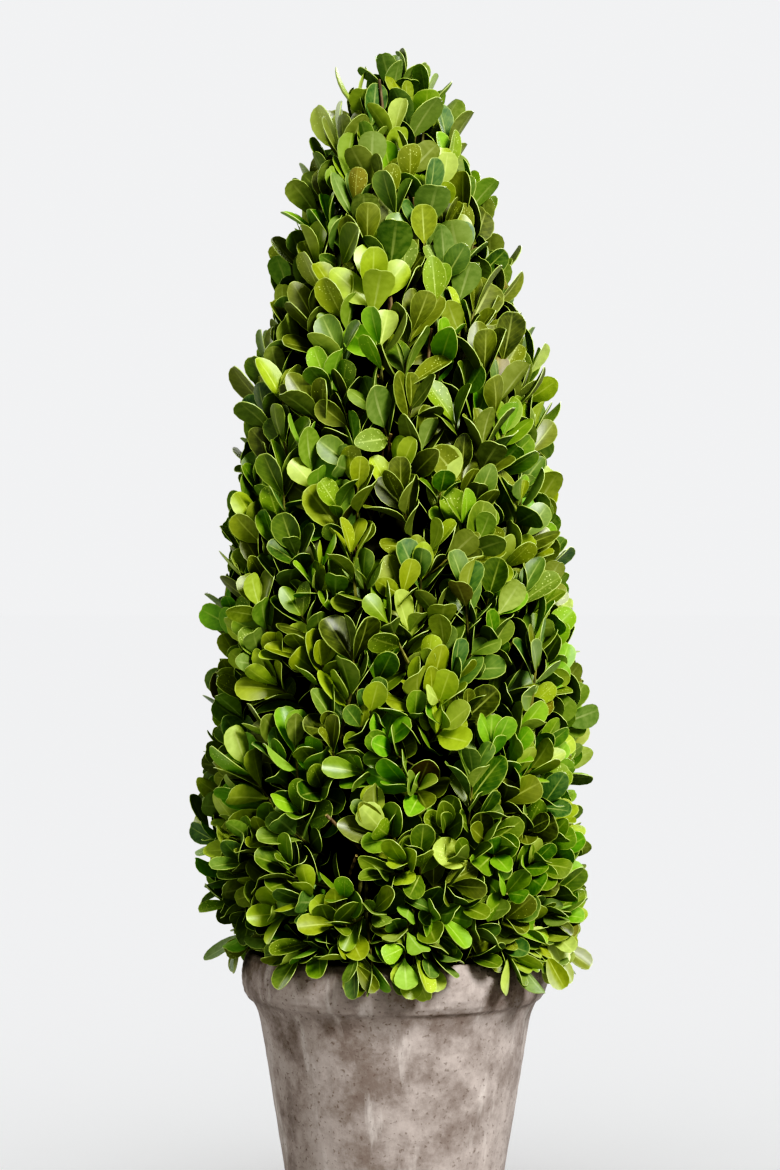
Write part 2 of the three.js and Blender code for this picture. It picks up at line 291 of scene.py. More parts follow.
def turned(name, profile, sides):
    """A closed turned mesh. profile lists (radius, height) pairs in mm."""
    deselect()
    radius, height = profile[0]
    bpy.ops.mesh.primitive_circle_add(
        vertices=sides, radius=radius * MM, fill_type="NGON", location=(0, 0, height * MM)
    )
    piece = bpy.context.object
    piece.name = name
    piece.data.name = name
    bpy.ops.object.transform_apply(location=True)
    bpy.ops.object.mode_set(mode="EDIT")
    bpy.ops.mesh.select_all(action="SELECT")
    for (r_from, z_from), (r_to, z_to) in zip(profile, profile[1:]):
        grow = r_to / r_from
        bpy.ops.mesh.extrude_region_move(TRANSFORM_OT_translate={"value": (0, 0, (z_to - z_from) * MM)})
        bpy.ops.transform.resize(value=(grow, grow, 1), center_override=(0, 0, z_to * MM))
    bpy.ops.mesh.select_all(action="SELECT")
    bpy.ops.mesh.normals_make_consistent(inside=False)
    bpy.ops.object.mode_set(mode="OBJECT")
    print(name, "turned in", len(profile), "rings of", sides)
    return piece


print("a quarter round of 5 mm:", [(round(r, 1), round(z, 1)) for r, z in arc((0, 0), 5, 5, 0, 90, 3)])

# %% [markdown]
# ## Working a surface
# Worn clay, fibre and thatch all come from the same move: each point of a fine mesh is pushed a little
# along its normal, by a noise. A modifier that makes the mesh fine is applied first, and shading is
# smoothed by angle, so that real edges stay sharp.

# %% Points of a mesh
def values_of(parts, name, kind=np.float32, width=1):
    """One property of all points, corners or faces as an array."""
    values = np.empty(len(parts) * width, kind)
    parts.foreach_get(name, values)
    return values


def points_of(piece):
    """The mesh's points as rows x, y, z."""
    return values_of(piece.data.vertices, "co", width=3).reshape(-1, 3).astype(float)


def set_points(piece, points):
    piece.data.vertices.foreach_set("co", points.astype(np.float32).ravel())
    piece.data.update()


def push_along_normals(piece, amount):
    """Moves each point along its normal by amount(point) millimetres."""
    points = points_of(piece)
    normals = values_of(piece.data.vertices, "normal", width=3).reshape(-1, 3)
    moves = np.array([amount(Vector(p)) for p in points]) * MM
    set_points(piece, points + normals * moves[:, None])
    print(piece.name, "pushed by", round(moves.min() / MM, 2), "to", round(moves.max() / MM, 2), "mm")


def bumps(p, push, across):
    """A noise that pushes by so many mm at most, in bumps so many mm across."""
    return push * noise.noise(p * features(across))


print("a bump of the clay:", round(bumps(Vector((0.07, 0, 0.05)), 0.35, 45), 3), "mm")


# %% Modifiers and smoothing
def apply_modifier(piece, kind, **settings):
    select_only(piece)
    modifier = piece.modifiers.new(kind.lower(), kind)
    for name, value in settings.items():
        setattr(modifier, name, value)
    bpy.ops.object.modifier_apply(modifier=modifier.name)


def smooth(piece, degrees):
    """Smooths the shading of a mesh, but for edges sharper than an angle."""
    select_only(piece)
    bpy.ops.object.shade_smooth_by_angle(angle=math.radians(degrees))


print("modifiers are applied at once, so every piece is a plain mesh")


# %% Finishing a piece
def finish_piece(piece, node, slot, *materials):
    """The piece takes its materials, rides with the plant, stands for a solid and is lit by the lamps."""
    for material in materials:
        piece.data.materials.append(material)
    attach(piece, "root")
    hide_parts(node)
    lit_pieces.objects.link(piece)
    corners = values_of(piece.data.polygons, "loop_total", np.int32)
    print(piece.name, "for", node + ":", int((corners - 2).sum()), "triangles")


lamps = [thing.name for thing in bpy.data.objects if thing.light_linking.receiver_collection == lit_pieces]
print("finished pieces are lit by", len(lamps), "lamps:", ", ".join(lamps))

# %% [markdown]
# ## The pot
# The pot is low-fired clay that has stood outdoors: its wall leans out to a thick rolled rim, and its
# face is rough with grit and small pits. The rings follow the profile, a subdivision rounds them, and a
# noise presses the surface in and out by fractions of a millimetre.

# %% Pot shape
POT_HEIGHT = heights_of("pot")[1]
FOOT_START, FOOT_RADIUS, FOOT_ROUND = 30, 53, 2.5
NECK = (68.4, 97)
RIM_MIDDLE, RIM_WIDE, RIM_TALL = (71.6, 114.5), 5.3, 12.4
WALL_RINGS = (0.15, 0.4, 0.6, 0.8, 1)
INNER_WALL = [(68.8, 122), (67.0, 112), (65.2, 102), (56, 58)]
FLOOR_ROUND, FLOOR_LEVEL, INNER_FOOT_RADIUS, FLOOR_END = 6, 10, 44.6, 14
POT_SIDES = 80

foot_middle = (FOOT_RADIUS - FOOT_ROUND, FOOT_ROUND)
floor_middle = (INNER_FOOT_RADIUS - FLOOR_ROUND, FLOOR_LEVEL + FLOOR_ROUND)
wall_out, wall_up = NECK[0] - FOOT_RADIUS, NECK[1] - FOOT_ROUND
pot_profile = [(FOOT_START, 0.0)] + arc(foot_middle, FOOT_ROUND, FOOT_ROUND, -90, 0, 4)
pot_profile += [(FOOT_RADIUS + wall_out * s, FOOT_ROUND + wall_up * s) for s in WALL_RINGS]
pot_profile += arc(RIM_MIDDLE, RIM_WIDE, RIM_TALL, -90, 105, 10) + INNER_WALL
pot_profile += arc(floor_middle, FLOOR_ROUND, FLOOR_ROUND, 0, -90, 4) + [(FLOOR_END, FLOOR_LEVEL)]
pot = turned("clay_pot", pot_profile, POT_SIDES)
apply_modifier(pot, "SUBSURF", levels=2, render_levels=2)

# %% Clay relief
FLAT_FOOT = 0.9
WOBBLE, LINE_DRIFT, GRIT, FINE_GRIT = (0.35, 45), (2, 80), (0.16, 2.4), (0.10, 1.1)
LINES_APART, LINE_DEPTH = 3.3, 0.10
PIT_DEPTH, PIT_WIDE, PIT_RARITY, PIT_PLACE = 1.5, 6, 0.42, Vector((7, 3, 1))
SETTLED = 0.35


def clay_relief(p):
    """Slow wheel wobble, throwing lines, grit and scattered pits, in mm. The flat underside stays flat."""
    if p.z < FLAT_FOOT * MM:
        return 0.0
    turn = 2 * math.pi * p.z / (LINES_APART * MM) + bumps(p, *LINE_DRIFT)
    grit = bumps(p, *GRIT) + bumps(p, *FINE_GRIT)
    pit = PIT_DEPTH * max(0.0, noise.noise(p * features(PIT_WIDE) + PIT_PLACE) - PIT_RARITY)
    return bumps(p, *WOBBLE) + LINE_DEPTH * math.sin(turn) + grit - pit - SETTLED


push_along_normals(pot, clay_relief)
smooth(pot, 40)

# %% [markdown]
# ### Weathered clay
# This is earthenware, fired low and left rough. It is thirsty and fully matt, so the eye gets no gloss
# from it, only colour. Years of rain leave it taupe, with darker damp patches about 30 mm wide, pale
# streaks of lime 14 mm wide that ran down from the rim, and dark grit of 2 mm. Each is one coat, and the
# streaks are a noise pulled long.

# %% Weathered clay
weathered_clay, tree, sockets = new_material("weathered_clay", 0.92, ior=1.5)
place = add(tree, "ShaderNodeTexCoord", out="Object")
stretch = (features(14), features(14), features(83))
run_down = add(tree, "ShaderNodeMapping", {"Vector": place, "Scale": stretch})
damp = {"Vector": place, "Scale": features(29), "Detail": 9.0, "Roughness": 0.72}
patches = add(tree, "ShaderNodeTexNoise", damp)
lime = {"Vector": run_down, "Scale": 1.0, "Detail": 5.0, "Roughness": 0.62}
streaks = add(tree, "ShaderNodeTexNoise", lime)
grit = add(tree, "ShaderNodeTexNoise", {"Vector": place, "Scale": features(1.9), "Detail": 2.0})
coats = [
    (linear("#8b817a"), patches, 0.36, 0.66, 1.0),
    (linear("#b0a8a0"), streaks, 0.54, 0.72, 0.55),
    (linear("#3d3029"), grit, 0.60, 0.72, 0.6),
]
tree.links.new(coated(tree, linear("#5b504a"), coats), sockets["Base Color"])
bump = add(tree, "ShaderNodeBump", {"Height": grit, "Strength": 0.35, "Distance": 0.3 * MM})
tree.links.new(bump, sockets["Normal"])
finish_piece(pot, "pot", "clay", weathered_clay)

# %% [markdown]
# ## The potting
# The pot is filled with coconut fibre and old compost, to just below the rim. Almost none of it shows
# under the crown. It is turned like the pot, a little slimmer than the inside of the wall, and its top is
# roughened.

# %% Potting shape
FILL_TOP = heights_of("pot_filling")[1]
FILL_CLEAR, FILL_SLIMMER = 0.4, 0.6
FILL_ROUND = 6
FILL_WALL = [(55.3, 58), (64.2, 101.5), (66.6, 113.5)]
FILL_TOP_RADII = (65.4, 60, 54, 45, 36, 27, 18, 10)
FILL_DIP, FILL_EDGE, DIP_POWER = 2.5, 66, 6
FILL_UNDER, FILL_SHOULDER = 0.3, 116
FILL_SIDES = 64
THREADS, THREADS_SETTLED, SIDE_SHRINK = (0.9, 7.7), 0.7, 0.2

fill_foot = (INNER_FOOT_RADIUS - FILL_SLIMMER - FILL_ROUND, FLOOR_LEVEL + FILL_CLEAR + FILL_ROUND)
fill_profile = [(FLOOR_END, FLOOR_LEVEL + FILL_CLEAR)]
fill_profile += arc(fill_foot, FILL_ROUND, FILL_ROUND, -90, 0, 4) + FILL_WALL
for radius in FILL_TOP_RADII:
    dip = FILL_DIP * (radius / FILL_EDGE) ** DIP_POWER
    fill_profile.append((radius, FILL_TOP - FILL_UNDER - dip))


def fibre_relief(p):
    """The top is a tangle that stays under the filling's level. The side shrinks a little from the wall."""
    return bumps(p, *THREADS) - THREADS_SETTLED if p.z > FILL_SHOULDER * MM else -SIDE_SHRINK


potting = turned("potting_fibre", fill_profile, FILL_SIDES)
apply_modifier(potting, "SUBSURF", levels=1, render_levels=1)
push_along_normals(potting, fibre_relief)
smooth(potting, 50)

# %% [markdown]
# ### Coconut fibre
# Chopped husk is a tangle of red-brown threads, some 3 mm apart, with dark gaps. It has no gloss. One
# twisted noise of that size gives the tangle.

# %% Coconut fibre
tangle = dict(Scale=features(3.1), Detail=4.0, Distortion=1.2)
coconut_fibre = two_tone("coconut_fibre", 0.95, "#2a1d12", "#6a4f33", 0.35, 0.65, **tangle)
finish_piece(potting, "pot_filling", "potting", coconut_fibre)

# %% [markdown]
# ## The stem
# Under the foliage the boxwood stands on a short stem. It swells into five root ribs where it meets the
# potting, and boxwood bark is pale, thin and split lengthwise. The stem starts as a circle too. Its rings
# follow the flare, and then each point moves sideways for the lean, the ribs and the splits of the bark.

# %% Stem shape
STEM_FOOT, STEM_TOP = heights_of("stem")
STEM_HEIGHT = round(STEM_TOP - STEM_FOOT, 1)
SEAT_GAP = round(STEM_FOOT - FILL_TOP, 1)
STEM_LEAN = (2.5, -1.5)
TOP_RADIUS, TAPER, FLARE_RADIUS = 6.5, 2, 13
ROOT_RIBS, RIB_DEPTH, FLARE_POWER = 5, 0.15, 4
STEM_RINGS, STEM_SIDES = 17, 40


def stem_radius(share):
    """The stem's radius in mm at a share of its height."""
    slim = TOP_RADIUS + TAPER * (1 - share)
    return slim + (FLARE_RADIUS - slim) * (1 - share) ** FLARE_POWER


stem_profile = [(stem_radius(s), STEM_FOOT + STEM_HEIGHT * s) for s in np.linspace(0, 1, STEM_RINGS)]
stem = turned("stem_bark", stem_profile, STEM_SIDES)

# %% Ribs, splits and lean
COARSE_SPLITS, COARSE_DEPTH, WANDER, WANDER_TURNS = 17, 0.035, 5, 9
FINE_SPLITS, FINE_DEPTH, FINE_TWIST = 31, 0.02, 14
BARK_SETTLED = 0.03

points = points_of(stem)
share = (points[:, 2] / MM - STEM_FOOT) / STEM_HEIGHT
angle = np.arctan2(points[:, 1], points[:, 0])
ribs = 1 + RIB_DEPTH * (1 - share) ** FLARE_POWER * np.cos(ROOT_RIBS * angle)
splits = 1 + COARSE_DEPTH * np.sin(COARSE_SPLITS * angle + WANDER * np.sin(WANDER_TURNS * share))
splits = splits + FINE_DEPTH * np.sin(FINE_SPLITS * angle + FINE_TWIST * share)
points[:, :2] *= (ribs * splits - BARK_SETTLED)[:, None]
points[:, :2] += np.outer(share, STEM_LEAN) * MM
set_points(stem, points)
smooth(stem, 50)
print("stem", round(2 * stem_radius(0)), "mm thick at its foot,", round(2 * stem_radius(1)), "at its top")

# %% [markdown]
# ### Boxwood bark
# The bark of an old boxwood is corky and fawn, with dark splits 2.4 mm apart that run up the stem for 17
# mm or so. It is dull, so all the eye gets is the lengthwise grain. A noise drawn out along the stem
# gives it.

# %% Boxwood bark
grain = dict(stretch=(features(2.4), features(2.4), features(17)), Scale=1.0, Detail=4.0)
boxwood_bark = two_tone("boxwood_bark", 0.85, "#2e2318", "#6f5e44", 0.36, 0.66, **grain)
finish_piece(stem, "stem", "bark", boxwood_bark)

# %% [markdown]
# ## How the crown grows
# The crown follows one rule, the same that shapes the solids. A curve gives its outer radius at each
# height, and a slimmer one the dense core. Sprigs are spread over the surface in a spiral that turns by
# the golden angle, which keeps them evenly apart, and a little further apart towards the tip. They hang
# at the foot, stand out at the belly and climb steeply near the tip.

# %% Sizes of the crown
BELLY_RADIUS = 97.5
BELLY_HEIGHT = 186
TIP_HEIGHT = 577.5
TAPER_POWER = 0.6
CROWN_FOOT = 126
FOOT_TUCK = 12
TUCK_POWER = 2.5
CORE_RADIUS = 64
CORE_TIP = 538
CORE_FOOT_RADIUS = 50
GOLDEN_ANGLE = math.pi * (3 - math.sqrt(5))
SPARSER = 0.25
AREA_LEVELS = 401
TILT_HEIGHTS = [126, 147, 186, 261, 381, 501, 577.5]
TILT_DEGREES = [-24, -6, 12, 32, 48, 64, 88]
print("crown", 2 * BELLY_RADIUS, "mm wide, from", CROWN_FOOT, "to", TIP_HEIGHT, "mm")


# %% Curves of the crown
def bullet(z, radius, tip):
    """The radius of a bullet shape at a height, from its full radius at the belly to its tip."""
    share = np.clip((z - BELLY_HEIGHT) / (tip - BELLY_HEIGHT), 0, 1)
    return radius * (1 - share * share) ** TAPER_POWER


def crown_radius(z):
    below = np.clip((BELLY_HEIGHT - z) / (BELLY_HEIGHT - CROWN_FOOT), 0, 1)
    return bullet(z, BELLY_RADIUS, TIP_HEIGHT) - FOOT_TUCK * below**TUCK_POWER


def core_radius(z):
    below = np.clip((BELLY_HEIGHT - z) / (BELLY_HEIGHT - FILL_TOP), 0, 1)
    return bullet(z, CORE_RADIUS, CORE_TIP) - (CORE_RADIUS - CORE_FOOT_RADIUS) * below


for z in (130, 186, 300, 420, 540):
    radii = round(float(crown_radius(z)), 1), round(float(core_radius(z)), 1)
    print("at", z, "mm the crown's and the core's radius:", radii)


# %% Tilt and spacing of the sprigs
def sprig_tilt(z):
    """Degrees above the level at which a sprig leaves the core."""
    return float(np.interp(z, TILT_HEIGHTS, TILT_DEGREES))


def heights_by_area(count):
    """Heights that share out the crown's surface evenly, a little sparser towards the tip."""
    heights = np.linspace(CROWN_FOOT, TIP_HEIGHT, AREA_LEVELS)
    radii = crown_radius(heights)
    climb = np.clip((heights[1:] - BELLY_HEIGHT) / (TIP_HEIGHT - BELLY_HEIGHT), 0, 1)
    width = (radii[1:] + radii[:-1]) * (1 - SPARSER * climb)
    area = np.concatenate([[0], np.cumsum(width * np.hypot(np.diff(heights), np.diff(radii)))])
    return np.interp((np.arange(count) + 0.5) / count * area[-1], area, heights)


print("sprigs lean by", [round(sprig_tilt(z)) for z in (130, 186, 300, 420, 540)], "degrees")

# %% [markdown]
# ## The core
# Deep in a clipped boxwood old leaves, moss and cut twigs pack into a dark, rough mass. Its near-black
# colour is partly the dead leaf's own and partly painted shade, for no light reaches so deep, and it shows
# only as the near-black between the sprigs. A turned shape with a noisy surface is enough.

# %% Core shape
CORE_RINGS, CORE_SIDES = 34, 48
CORE_START, CORE_END, CORE_END_DROP = (10, FILL_TOP + 0.4), 6, 2
TUFTS, SCRAPS, THATCH_SETTLED = (2.2, 11), (1.4, 3.8), 0.6
core_levels = np.linspace(FILL_TOP + 2 * SEAT_GAP, CORE_TIP - CORE_END_DROP, CORE_RINGS)
core_profile = [CORE_START] + [(float(core_radius(z)), float(z)) for z in core_levels]
core_profile[-1] = (CORE_END, CORE_TIP - CORE_END_DROP)


def thatch_relief(p):
    """Tufts of old twigs and scraps of leaf, in mm."""
    return bumps(p, *TUFTS) + bumps(p, *SCRAPS) - THATCH_SETTLED


core = turned("crown_core", core_profile, CORE_SIDES)
apply_modifier(core, "SUBSURF", levels=1, render_levels=1)
push_along_normals(core, thatch_relief)
points = points_of(core)
points[:, 2] = np.maximum(points[:, 2], (FILL_TOP + SEAT_GAP) * MM)
set_points(core, points)
smooth(core, 60)

# %% [markdown]
# ### Old leaf thatch and painted shade
# The thatch is dead leaf and moss in scraps of 4 mm, dull, and near-black: partly its own dark colour and
# partly painted shade for the shadow deep in the crown.

# %% Old leaf thatch and painted shade
scraps = dict(Scale=features(4.2), Detail=3.0)
# Its near-black colours are partly dead leaf and partly painted shade.
thatch_and_painted_shade = two_tone("thatch_and_painted_shade", 0.97, "#0d0d07", "#2a2a12", 0.42, 0.66, **scraps)
finish_piece(core, "crown", "leaves", thatch_and_painted_shade)

# %% [markdown]
# ## One boxwood leaf
# A boxwood leaf is a thick, leathery oval about 20 mm long, widest past its middle, on a stalk of a
# millimetre. Its tip is round or notched, its two halves rise from the midrib, and a thin pale rim runs
# round it. One leaf starts as a small grid. Each row is scaled to the leaf's width there and lifted for
# its arch, and Solidify gives the thickness. The rows stand closer at the stalk and the tip, where the
# outline turns fastest. The underside shows less, so every second lengthwise line is dissolved there,
# which saves faces on thousands of copies.

# %% Modelling a leaf
LEAF_LENGTH = 21.0
LEAF_WIDTH = 13.0
LEAF_THICK = 0.3
LEAF_ROWS = [0.0, 0.09, 0.27, 0.47, 0.67, 0.86, 1.0]
LEAF_COLUMNS = 5
TIP_DROP, TIP_POWER, SHOULDER_DROP = 1.3, 2.3, 0.4
CUP_RISE = 1.6
ARCH_UP, ARCH_DOWN = 2.6, 3.4
TWIST = 0.25


def model_leaf(name, widths, length=1.0, width=1.0, cup=1.0, arch=1.0, notch=0.0, curl=0.0):
    """A leaf that grows from the origin along +Y with its upper face to +Z, in millimetres."""
    deselect()
    steps = len(LEAF_ROWS) - 1
    bpy.ops.mesh.primitive_grid_add(x_subdivisions=LEAF_COLUMNS - 1, y_subdivisions=steps, size=2)
    leaf = bpy.context.object
    leaf.name = name
    for part in (leaf.data.vertices, leaf.data.edges, leaf.data.polygons):
        part.foreach_set("select", [False] * len(part))
    points = points_of(leaf)
    row = np.rint((points[:, 1] + 1) * steps / 2).astype(int)
    side, outer = points[:, 0].copy(), np.abs(points[:, 0])
    half = np.array(widths)[row] * LEAF_WIDTH / 2 * width
    along = np.array(LEAF_ROWS)[row] * LEAF_LENGTH
    along -= np.where(row == steps, TIP_DROP * outer**TIP_POWER + notch * (1 - outer) ** 2, 0)
    along -= np.where(row == steps - 1, SHOULDER_DROP * outer**2, 0)
    share = along / LEAF_LENGTH
    rise = CUP_RISE * cup * (0.5 * outer + 0.5 * outer**2) * half / (LEAF_WIDTH / 2)
    bend = arch * (ARCH_UP * share - ARCH_DOWN * share**2)
    twist = TWIST * curl * side * share * half
    set_points(leaf, np.stack([side * half, along * length, rise + bend + twist], axis=1))
    return leaf


print("a leaf is", LEAF_LENGTH, "by", LEAF_WIDTH, "mm")


# %% Thickness
def thicken(leaf):
    """Gives a leaf its thickness, and dissolves the underside's lines halfway from midrib to edge."""
    for _ in ("blade", "underside", "rim"):
        leaf.data.materials.append(None)
    upper = len(leaf.data.vertices)
    slots = dict(material_offset=1, material_offset_rim=2)
    apply_modifier(leaf, "SOLIDIFY", thickness=LEAF_THICK, offset=-1, **slots)
    halfway = {upper + row * LEAF_COLUMNS + column for row in range(len(LEAF_ROWS)) for column in (1, 3)}
    for edge in leaf.data.edges:
        a, b = edge.vertices
        edge.select = a in halfway and b in halfway and abs(a - b) == LEAF_COLUMNS
    bpy.ops.object.mode_set(mode="EDIT")
    bpy.ops.mesh.select_mode(type="EDGE")
    bpy.ops.mesh.dissolve_edges(use_verts=True)
    bpy.ops.object.mode_set(mode="OBJECT")


trial = model_leaf("trial_leaf", [1] * len(LEAF_ROWS))
thicken(trial)
print("a thick leaf has", len(trial.data.polygons), "faces")
bpy.data.objects.remove(trial)

# %% [markdown]
# ## Seven kinds of leaf
# No two leaves are alike, yet a few shapes are enough when each copy is turned and scaled in its own way.
# Three outlines are bent in seven ways: ovals with a notched tip, ellipses, and spoons that narrow to the
# stalk.

# %% Leaf kinds
OVAL = [0.075, 0.22, 0.68, 0.94, 1.0, 0.85, 0.58]
ELLIPSE = [0.075, 0.30, 0.78, 1.0, 0.96, 0.74, 0.45]
SPOON = [0.075, 0.14, 0.50, 0.82, 1.0, 0.91, 0.64]
LEAF_KINDS = [
    dict(widths=OVAL, notch=0.4),
    dict(widths=OVAL, length=0.94, width=1.08, cup=0.8, arch=0.5, notch=0.8),
    dict(widths=ELLIPSE, length=1.08, width=0.92, cup=1.2, arch=1.2),
    dict(widths=ELLIPSE, length=1.02, width=0.98, cup=-0.6, arch=0.9, curl=0.5),
    dict(widths=SPOON, length=1.10, width=0.98, cup=1.3, arch=0.9, notch=0.5),
    dict(widths=SPOON, length=1.04, width=1.02, cup=-0.9, arch=1.6, curl=-0.6),
    dict(widths=OVAL, length=1.02, width=1.10, cup=1.4, arch=0.2, notch=0.2),
]
print(len(LEAF_KINDS), "kinds of leaf")


# %% Leaves as arrays
def arrays_of(piece):
    """A mesh as arrays: points, corners per face, corner points, corner UVs and material numbers."""
    mesh = piece.data
    corners = values_of(mesh.loops, "vertex_index", np.int32)
    counts = values_of(mesh.polygons, "loop_total", np.int32)
    slots = values_of(mesh.polygons, "material_index", np.int32)
    uv = values_of(mesh.uv_layers[0].data, "uv", width=2).reshape(-1, 2)
    return dict(points=points_of(piece), counts=counts, corners=corners, slots=slots, uv=uv)


leaf_arrays = []
for number, kind in enumerate(LEAF_KINDS):
    leaf = model_leaf(f"leaf_shape_{number}", **kind)
    thicken(leaf)
    leaf_arrays.append(arrays_of(leaf))
    bpy.data.objects.remove(leaf)
print(len(leaf_arrays), "leaf shapes of", len(leaf_arrays[0]["counts"]), "faces")

# %% [markdown]
# ## Sprigs
# A sprig is a twig as thin as a match, with leaves in pairs. Each pair stands across the one before it,
# and the younger pairs near the end hug the twig more closely. A sprig leaves the core as the rule says,
# and its young end turns up to the light. Shears and wind comb neighbours the same way, so they share a
# lean, and the clipped surface swells and dips. Leaf tips reach past the surface that a sprig is set to,
# most of all in the upper half, so the surface is cut back there. At the foot the plant of the picture is
# drawn in on the left and stands proud on the right.

# %% Pairs on a sprig
PAIRS = [
    dict(back=0.8, spread=20, size=0.90),
    dict(back=6.5, spread=30, size=1.04),
    dict(back=13.0, spread=38, size=1.08),
    dict(back=19.5, spread=46, size=1.02),
    dict(back=26.5, spread=54, size=0.94),
]
YOUNG_PART = 29.0
TIP_REACH = LEAF_LENGTH * PAIRS[0]["size"] * math.cos(math.radians(PAIRS[0]["spread"]))
print("the end leaves reach", round(TIP_REACH, 1), "mm past their twig")

# %% Swells and leans
SWELL, SWELL_TURNS, SWELL_TALL = 5.5, 2.6, 38
CUT_HEIGHTS, CUT_BACK = [150, 220, 400, 500, TIP_HEIGHT], [0.5, 3.5, 8.0, 8.0, 1.5]
SKIRT_SWELL, SKIRT_HEIGHT, SKIRT_TALL = 4.0, 118, 9
LEAN_HEADING, LEAN_TILT, LEAN_TURNS, LEAN_TALL = 60, 38, 3.1, 30
HEADING_PLACE, TILT_PLACE = Vector((4, 8, 2)), Vector((15, 3, 9))
FOOT_SWELLS = [
    dict(azimuth=180, height=128, wide=42, tall=16, out=-15.0),
    dict(azimuth=-12, height=142, wide=30, tall=15, out=6.0),
]


def direction(heading, tilt):
    """The unit vector of a heading round the axis and a tilt above the level, both in radians."""
    level = math.cos(tilt)
    return np.array([math.cos(heading) * level, math.sin(heading) * level, math.sin(tilt)])


def around(azimuth, z, turns, tall):
    """Where a noise is read on the crown: bumps repeat with more turns round it and are so many mm tall."""
    return Vector((math.cos(azimuth) * turns, math.sin(azimuth) * turns, z / tall))


def swell(azimuth, z):
    """How far the clipped surface stands out of the rule's curve, in mm. Leaf tips reach past it."""
    place = around(azimuth, z, SWELL_TURNS, SWELL_TALL)
    total = SWELL * noise.noise(place) - float(np.interp(z, CUT_HEIGHTS, CUT_BACK))
    total += SKIRT_SWELL * math.exp(-(((z - SKIRT_HEIGHT) / SKIRT_TALL) ** 2))
    for foot in FOOT_SWELLS:
        turn = math.degrees(math.remainder(azimuth - math.radians(foot["azimuth"]), 2 * math.pi))
        away = (turn / foot["wide"]) ** 2 + ((z - foot["height"]) / foot["tall"]) ** 2
        total += foot["out"] * math.exp(-away)
    return total


def lean(azimuth, z):
    """Neighbouring sprigs share these turns of heading and tilt, in degrees."""
    place = around(azimuth, z, LEAN_TURNS, LEAN_TALL)
    return LEAN_HEADING * noise.noise(place + HEADING_PLACE), LEAN_TILT * noise.noise(place + TILT_PLACE)


print("the left of the foot is drawn in by", round(-swell(math.pi, 128)), "mm")

# %% Growing one sprig
UPWARD_BEND, UPWARD_FROM, UPWARD_FULL = 16, 140, 220
STEEPEST = 86
STRAY_HEADING, STRAY_TILT, UNEVEN = 18, 10, 2.2
PROUD_SHARE, PROUD_LEAST, PROUD_MOST = 0.10, 1.5, 4.0
DEPTH_IN_CORE, ABOVE_FILLING, BELOW_CORE_TIP = 5, 4, 8
STEP_BACK, MOST_BACK, BACK_IF_NONE = 2, 170, 40


def foot_in_core(end, along):
    """Steps back along a twig until it is inside the core."""
    for back in range(2 * STEP_BACK, MOST_BACK, STEP_BACK):
        point = end - along * back
        inside = math.hypot(point[0], point[1]) < core_radius(point[2]) - DEPTH_IN_CORE
        if inside and FILL_TOP + ABOVE_FILLING < point[2] < CORE_TIP - BELOW_CORE_TIP:
            return point
    return end - along * BACK_IF_NONE


def make_sprig(azimuth, z, rule_tilt):
    """A sprig whose end leaves just reach the clipped surface at this azimuth and height."""
    turn, rise = lean(azimuth, z)
    bend = UPWARD_BEND * float(np.interp(z, [UPWARD_FROM, UPWARD_FULL], [0, 1]))
    tilt = min(rule_tilt + bend + rise + rng.uniform(-STRAY_TILT, STRAY_TILT), STEEPEST)
    heading = azimuth + math.radians(turn + rng.uniform(-STRAY_HEADING, STRAY_HEADING))
    along = direction(heading, math.radians(tilt))
    stands_out = swell(azimuth, z) + rng.uniform(-UNEVEN, UNEVEN)
    if rng.random() < PROUD_SHARE:
        stands_out += rng.uniform(PROUD_LEAST, PROUD_MOST)
    outermost = direction(azimuth, 0) * (float(crown_radius(z)) + stands_out)
    outermost[2] = z
    end = outermost - along * TIP_REACH
    elbow = end - along * YOUNG_PART
    foot = foot_in_core(elbow, direction(azimuth, math.radians(rule_tilt)))
    path = dict(end=end, along=along, elbow=elbow, foot=foot)
    return dict(path, turn=rng.uniform(0, math.pi), azimuth=azimuth, proud=stands_out)


first = make_sprig(0.0, 300.0, sprig_tilt(300.0))
print("a sprig at 300 mm ends", round(float(np.hypot(*first["end"][:2])), 1), "mm from the axis")

# %% [markdown]
# ## Where the sprigs stand
# Five rings of hanging sprigs make the skirt over the pot's rim. Above them the spiral of the rule takes
# over, but here and there the shears or the shade have left a hollow with no sprig, which shows as a dark
# gap. Three sprigs close the tip.

# %% All the sprigs
SPRIG_COUNT = 750
SKIRT_RINGS = [(111.5, 42, -52), (115.0, 42, -46), (119.5, 40, -38), (125.5, 38, -28), (132.0, 38, -18)]
RING_STRAY = 0.03
HOLLOW_FROM, HOLLOW_TURNS, HOLLOW_TALL, HOLLOW_PLACE = 0.27, 3.4, 26, Vector((9, 0, 0))
TOP_SPRIGS, TOP_TILT, TOP_APART, TOP_STEP, TOP_TWIST, TOP_FOOT = 3, 84, 3.0, 2, 1.1, 14.0


def in_hollow(azimuth, z):
    place = around(azimuth, z, HOLLOW_TURNS, HOLLOW_TALL)
    return noise.noise(place + HOLLOW_PLACE) > HOLLOW_FROM


